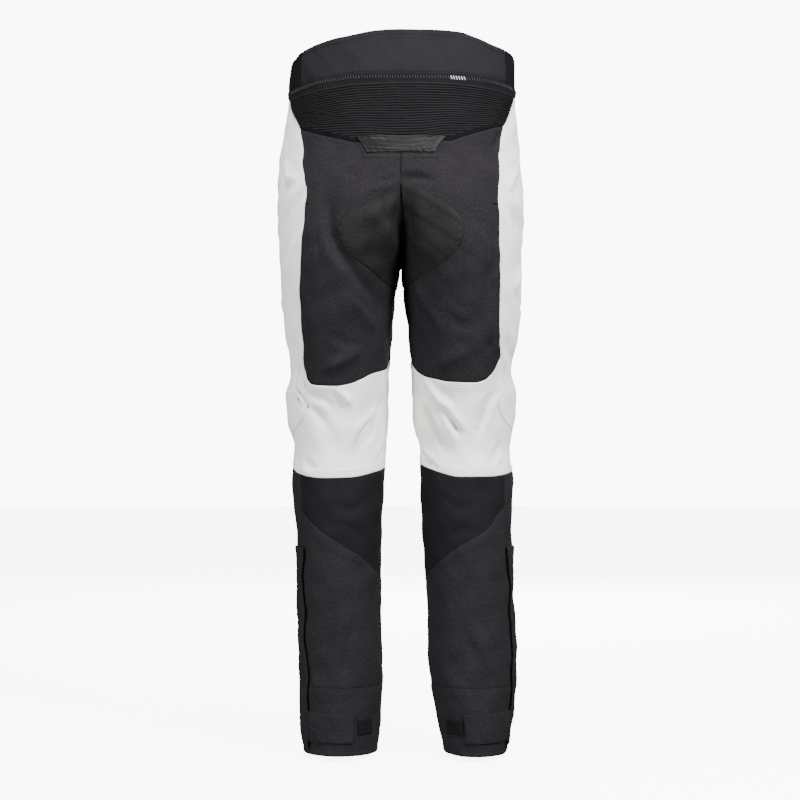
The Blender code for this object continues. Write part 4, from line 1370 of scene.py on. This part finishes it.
class TROUSERS_OT_thighs(PieceOperator, bpy.types.Operator):
    """Make the seat and back thigh panels and the front thigh panels"""

    bl_idname = "trousers.thighs"
    bl_label = "Thighs"

    # Rows of sewing round the second layer under the centre patch, and the bar tack beside it
    base_sewing = (
        ((111.5, -128), (103, -153), (90.5, -153)),
        ((130, -216), (126, -216.5), (130, -217), (126, -217.5), (130, -218)),
    )

    def execute(self, context):
        lines, base_lines = [], []
        middle = level(CROTCH_LEVEL)
        for side in SIDES:
            back = panel(
                "Back_Thigh", side, (yoke, middle, knee_top), rise_turn, outer_back_seam,
                (SEWN, SEAM, Border(0.5, 0.0, (2.4,)), SEWN), "black_shell", ["Rib_Panel"],
                centre=0, shape=self.patch_base,
            )
            base_lines += [route_line(side, route, 1.0) for route in self.base_sewing]
            front = panel(
                "Front_Thigh", side, (band_bottom, yoke, middle, knee_top), outer_front_seam,
                front_rise_turn, (SEWN, SEAM, SEWN, SEWN), "black_shell",
                [both("Waistband_Front", side)], centre=-1,
            )
            lines += back.stitch_lines() + front.stitch_lines()
        sew("Stitches_Thighs", lines, "dark_thread")
        sew("Stitches_Patch_Base", base_lines, "black_thread")
        return {"FINISHED"}

    @staticmethod
    def patch_base(distances, turn, height):
        """The second layer of cloth that the centre patch is sewn to."""
        edge = 104 + (height + 155) * 0.34
        return 0.7 * np.clip((height + 155.5) / 1.2, 0, 1) * np.clip(edge - turn, 0, 1)


class TROUSERS_OT_side_panels(PieceOperator, bpy.types.Operator):
    """Make the light outer side panels"""

    bl_idname = "trousers.side_panels"
    bl_label = "Side Panels"

    def execute(self, context):
        lines = []
        rows = rib_top, yoke, level(CROTCH_LEVEL), below(knee_top, 1.5)
        for side in SIDES:
            lines += panel(
                "Side_Panel", side, rows, outer_back_seam, outer_front_seam,
                (SEAM, Border(0.4, 0.0, ()), SEAM, SEWN), "light_shell",
                [both("Waistband_Elastic", side)],
            ).stitch_lines()
        sew("Stitches_Side_Panels", lines, "light_thread")
        return {"FINISHED"}


class TROUSERS_OT_seat_patches(PieceOperator, bpy.types.Operator):
    """Make the grip patches on the seat"""

    bl_idname = "trousers.seat_patches"
    bl_label = "Seat Patches"

    tops = {"left": -191, "right": -188.5}
    feet = {"left": -335, "right": -332}
    crown_turn = 74

    def domed_top(self, side, turn):
        """The rounded top edge, steeper towards the centre seam."""
        inward = np.maximum(self.crown_turn - turn, 0.0)
        outward = np.maximum(turn - self.crown_turn, 0.0)
        return self.tops[side] - 0.02 * inward ** 2 - 0.012 * outward ** 2

    def execute(self, context):
        lines = []
        for side in SIDES:
            lines += panel(
                "Seat_Patch", side, (self.domed_top, level(self.feet[side])),
                lambda side, height: rise_turn(side, height) + 0.9, seat_patch_edge,
                (EDGE, EDGE, PLAIN, Border(0.4, 0.0, (2.2,))), "grip", [both("Back_Thigh", side)],
                thickness=PATCH_THICK, lift=1.6, held="laid", fineness=0.7,
            ).stitch_lines()
        sew("Stitches_Seat_Patches", lines, "dark_thread")
        return {"FINISHED"}


class TROUSERS_OT_fly_placket(PieceOperator, bpy.types.Operator):
    """Make the placket over the front opening"""

    bl_idname = "trousers.fly_placket"
    bl_label = "Fly Placket"

    foot = -215
    width_turn = 18

    def execute(self, context):
        made = panel(
            "Fly_Placket", "left", (below(band_bottom, 3.0), level(self.foot)),
            lambda side, height: front_rise_turn(side, height) - self.width_turn, front_rise_turn,
            (EDGE, EDGE, Border(0.4, 0.2, (2.5, 6.0)), PLAIN), "black_shell",
            ["Front_Thigh_Left"], thickness=PATCH_THICK, lift=1.8, held="laid", fineness=0.8,
            named=False,
        )
        sew("Stitches_Placket", made.stitch_lines(), "dark_thread")
        return {"FINISHED"}


class TROUSERS_OT_knees(PieceOperator, bpy.types.Operator):
    """Make the back knee panels and the cups that wrap round from the front"""

    bl_idname = "trousers.knees"
    bl_label = "Knees"

    # Each panel of a knee: where it starts and ends, the turns between which its top edge is
    # sewn, its border at the cup's seam and the node that it rests on
    parts = (
        ("Knee_Back", at_turn(INNER), knee_cup_seam, (-1, 137), SEAM, "Back_Thigh"),
        ("Knee_Cup", knee_cup_seam, at_turn(ALL_ROUND), (218, 361), SEWN._replace(dip=1.2),
         "Front_Thigh"),
    )

    def execute(self, context):
        lines = []
        for side in SIDES:
            for name, first, last, turns, cup_seam, under in self.parts:
                lines += panel(
                    name, side, (knee_top, knee_bottom), first, last,
                    (TWIN._replace(turns=turns), TWIN, cup_seam, SEAM), "light_shell",
                    [both(under, side)],
                ).stitch_lines()
        sew("Stitches_Knees", lines, "light_thread")
        return {"FINISHED"}


# Top and foot of the storm flap over a leg zip, of a cuff tab and of a square loop patch
FLAP_TOP, FLAP_FOOT = -716, -1012
TAB_TOP, TAB_FOOT = -959, -1003
LOOP_TOP, LOOP_FOOT = -969, -992


def flap_edge(side, height):
    """Free edge of the storm flap, with its soft wave."""
    return outer_leg_seam(side, height) - 3.0 + 1.6 * np.sin(height / 14.0)


def flap_root(side, height):
    """The line where the storm flap is sewn on."""
    return outer_leg_seam(side, height) + 22.0


def tab_root(side, height):
    """The line where a cuff tab comes out from under the storm flap."""
    return flap_edge(side, height) - 1.0


class TROUSERS_OT_lower_legs(PieceOperator, bpy.types.Operator):
    """Make the stretch calves, the lower legs and the cuff bands"""

    bl_idname = "trousers.lower_legs"
    bl_label = "Lower Legs"

    def execute(self, context):
        lines = []
        band, hem = level(HEM_SEAM_LEVEL), level(HEM_LEVEL)
        for side in SIDES:
            back = at_turn(INNER), outer_leg_seam
            # Painted shadow in the gap beside the storm flap's free edge
            options = {"painted_shade": self.flap_gap_shadow(side)}
            made = (
                panel("Calf", side, (knee_bottom, calf_edge), *back, (SEAM, FLAT_SEAM, SEAM, SEAM),
                      "stretch", [both("Knee_Back", side)], held="stretched"),
                panel("Lower_Back", side, (calf_edge, band), *back,
                      (Border(0.4, 0.5, (2.6, 11.5)), FLAT_SEAM, SEAM, SEAM), "black_shell",
                      [both("Calf", side)], **options),
                panel("Cuff", side, (band, hem), *back,
                      (Border(0.4, 0.35, (2.6, 7.0)), HEM, SEAM, SEAM), "black_shell",
                      [both("Lower_Back", side)], node="Cuff_Back", **options),
                panel("Lower_Front", side, (knee_bottom, hem), outer_leg_seam, at_turn(ALL_ROUND),
                      (SEWN, HEM, SEAM, SEAM), "black_shell", [both("Knee_Cup", side)]),
            )
            lines += [line for part in made for line in part.stitch_lines()]
        sew("Stitches_Lower_Legs", lines, "dark_thread")
        return {"FINISHED"}

    @staticmethod
    def flap_gap_shadow(side):
        """Painted shadow: a near-black strip of the cloth beside the storm flap's free edge, where
        the gap lies in shade.
        """
        def painted_shade(turn, height, rise):
            away = turn - flap_edge(side, height)
            within = np.clip((FLAP_TOP - height) / 3, 0, 1) * np.clip((height + 1018) / 3, 0, 1)
            return within * np.clip((away + 3.4) / 0.8, 0, 1)
        return painted_shade


class TROUSERS_OT_cuff_fittings(PieceOperator, bpy.types.Operator):
    """Make the storm flaps over the leg zips, the cuff tabs and the square loop patches"""

    bl_idname = "trousers.cuff_fittings"
    bl_label = "Flaps and Cuff Tabs"

    tips = {"left": 70, "right": 73}
    loops = {"left": (38, 64), "right": (40, 71)}
    plain_edge = Border(0.5, 0.0, ())

    def execute(self, context):
        lines = []
        for side in SIDES:
            cuff = [both("Cuff_Back", side)]
            start, end = (at_turn(turn) for turn in self.loops[side])
            flap = panel(
                "Zip_Flap", side, (level(FLAP_TOP), level(FLAP_FOOT)), flap_edge, flap_root,
                (EDGE, EDGE, Border(0.2, 0.4, (4.0,)), SEWN), "black_shell",
                [both("Lower_Front", side)], thickness=FLAP_THICK, lift=2.6, fineness=0.8,
            )
            tab = panel(
                "Cuff_Tab", side, (level(TAB_TOP), level(TAB_FOOT)), at_turn(self.tips[side]),
                tab_root, (self.plain_edge,) * 3 + (Border(0.3, 0.0, (7.5,)),), "black_shell",
                cuff, slot="stretch", thickness=TAB_THICK, lift=3.0, held="laid", fineness=0.7,
            )
            panel(
                "Loop_Patch", side, (level(LOOP_TOP), level(LOOP_FOOT)), start, end,
                (self.plain_edge,) * 4, "loop", cuff, slot="elastic", thickness=PATCH_THICK,
                lift=1.8, held="laid", fineness=0.6,
            )
            lines += flap.stitch_lines() + tab.stitch_lines()
        sew("Stitches_Cuffs", lines, "dark_thread")
        return {"FINISHED"}


class TROUSERS_OT_stage(PieceOperator, bpy.types.Operator):
    """Make the floor, the lights and the camera"""

    bl_idname = "trousers.stage"
    bl_label = "Stage"

    # Name, place, size and power of each light
    lights = (
        ("Key", (2.0, -2.1, 0.9), 1.0, 250.0),
        ("Fill", (-2.3, -2.0, -0.9), 1.2, 120.0),
        ("Top", (-0.1, -1.1, 1.7), 1.0, 105.0),
        ("Back", (0.4, 2.6, 0.5), 1.6, 150.0),
    )
    sky_strength = 0.38
    aim = Vector((0.0, 0.0, -0.5))
    camera_place = (-0.0015, -3.0, -0.5)
    focal_length = 90.0
    floor_place = (0.0, 0.0, -1.031)
    floor_radius = 7.0
    backdrop_radius = 7.2

    def execute(self, context):
        bpy.ops.object.select_all(action="DESELECT")
        bpy.ops.mesh.primitive_circle_add(
            vertices=64, radius=self.floor_radius, fill_type="NGON", location=self.floor_place
        )
        self.make_pale("Floor", 7.0)
        bpy.ops.object.select_all(action="DESELECT")
        bpy.ops.mesh.primitive_uv_sphere_add(
            segments=64, ring_count=32, radius=self.backdrop_radius
        )
        self.make_pale("Backdrop", 9.0)
        world = bpy.data.worlds.new("Studio")
        world.use_nodes = True
        sky = world.node_tree.nodes["Background"]
        sky.inputs["Color"].default_value = (1.0, 1.0, 1.0, 1.0)
        sky.inputs["Strength"].default_value = self.sky_strength
        context.scene.world = world
        for name, place, size, power in self.lights:
            lamp = bpy.data.lights.new(name, "AREA")
            lamp.size = size
            lamp.energy = power
            light = bpy.data.objects.new(name, lamp)
            light.location = place
            light.rotation_mode = "QUATERNION"
            toward = self.aim - Vector(place)
            light.rotation_quaternion = toward.to_track_quat("-Z", "Y")
            context.scene.collection.objects.link(light)
        lens = bpy.data.cameras.new("Camera")
        lens.lens = self.focal_length
        lens.sensor_width = 36.0
        camera = bpy.data.objects.new("Camera", lens)
        camera.location = self.camera_place
        camera.rotation_euler = (math.radians(90), 0, 0)
        context.scene.collection.objects.link(camera)
        context.scene.camera = camera
        return {"FINISHED"}

    @staticmethod
    def make_pale(name, glow):
        """Name the new floor or backdrop and make it pale; it lights nothing by itself."""
        pale = bpy.context.active_object
        bpy.ops.object.transform_apply(location=True, rotation=True, scale=True)
        pale.name = name
        looks = Looks(f"pale_{name.lower()}")
        cloud = looks.noise(looks.place, 0.8, 2.0)
        base = looks.blend(cloud, (0.86, 0.86, 0.86, 1.0), (0.9, 0.9, 0.9, 1.0))
        looks.finish(base, 0.8, cloud, 0.0001, specular=0.1)
        pale.data.materials.append(looks.material)
        looks.shader.inputs["Emission Color"].default_value = (1.0, 1.0, 1.0, 1.0)
        looks.shader.inputs["Emission Strength"].default_value = glow
        for way in ("diffuse", "glossy", "transmission", "volume_scatter", "shadow"):
            setattr(pale, f"visible_{way}", False)


OPERATORS = (
    TROUSERS_OT_waistband,
    TROUSERS_OT_press_stud,
    TROUSERS_OT_connection_zip,
    TROUSERS_OT_rib_panel,
    TROUSERS_OT_thighs,
    TROUSERS_OT_side_panels,
    TROUSERS_OT_back_patch,
    TROUSERS_OT_seat_patches,
    TROUSERS_OT_fly_placket,
    TROUSERS_OT_knees,
    TROUSERS_OT_lower_legs,
    TROUSERS_OT_cuff_fittings,
    TROUSERS_OT_stage,
)


class TROUSERS_PT_sidebar(bpy.types.Panel):
    """Sizes, colours and pieces of the riding trousers"""

    bl_label = "Riding Trousers"
    bl_space_type = "VIEW_3D"
    bl_region_type = "UI"
    bl_category = "Trousers"

    def draw(self, context):
        for group in (context.scene.trousers_sizes, context.scene.trousers_colours):
            column = self.layout.column(align=True)
            for name in type(group).__annotations__:
                column.prop(group, name)
        column = self.layout.column(align=True)
        for operator in OPERATORS:
            column.operator(operator.bl_idname)


CLASSES = (TrousersSizes, TrousersColours, *OPERATORS, TROUSERS_PT_sidebar)


def register():
    for kind in CLASSES:
        bpy.utils.register_class(kind)
    bpy.types.Scene.trousers_sizes = bpy.props.PointerProperty(type=TrousersSizes)
    bpy.types.Scene.trousers_colours = bpy.props.PointerProperty(type=TrousersColours)


def unregister():
    del bpy.types.Scene.trousers_colours
    del bpy.types.Scene.trousers_sizes
    for kind in reversed(CLASSES):
        bpy.utils.unregister_class(kind)


def main():
    """Make every piece and the stage."""
    register()
    for operator in OPERATORS:
        group, name = operator.bl_idname.split(".")
        getattr(getattr(bpy.ops, group), name)()


if __name__ == "__main__":
    main()
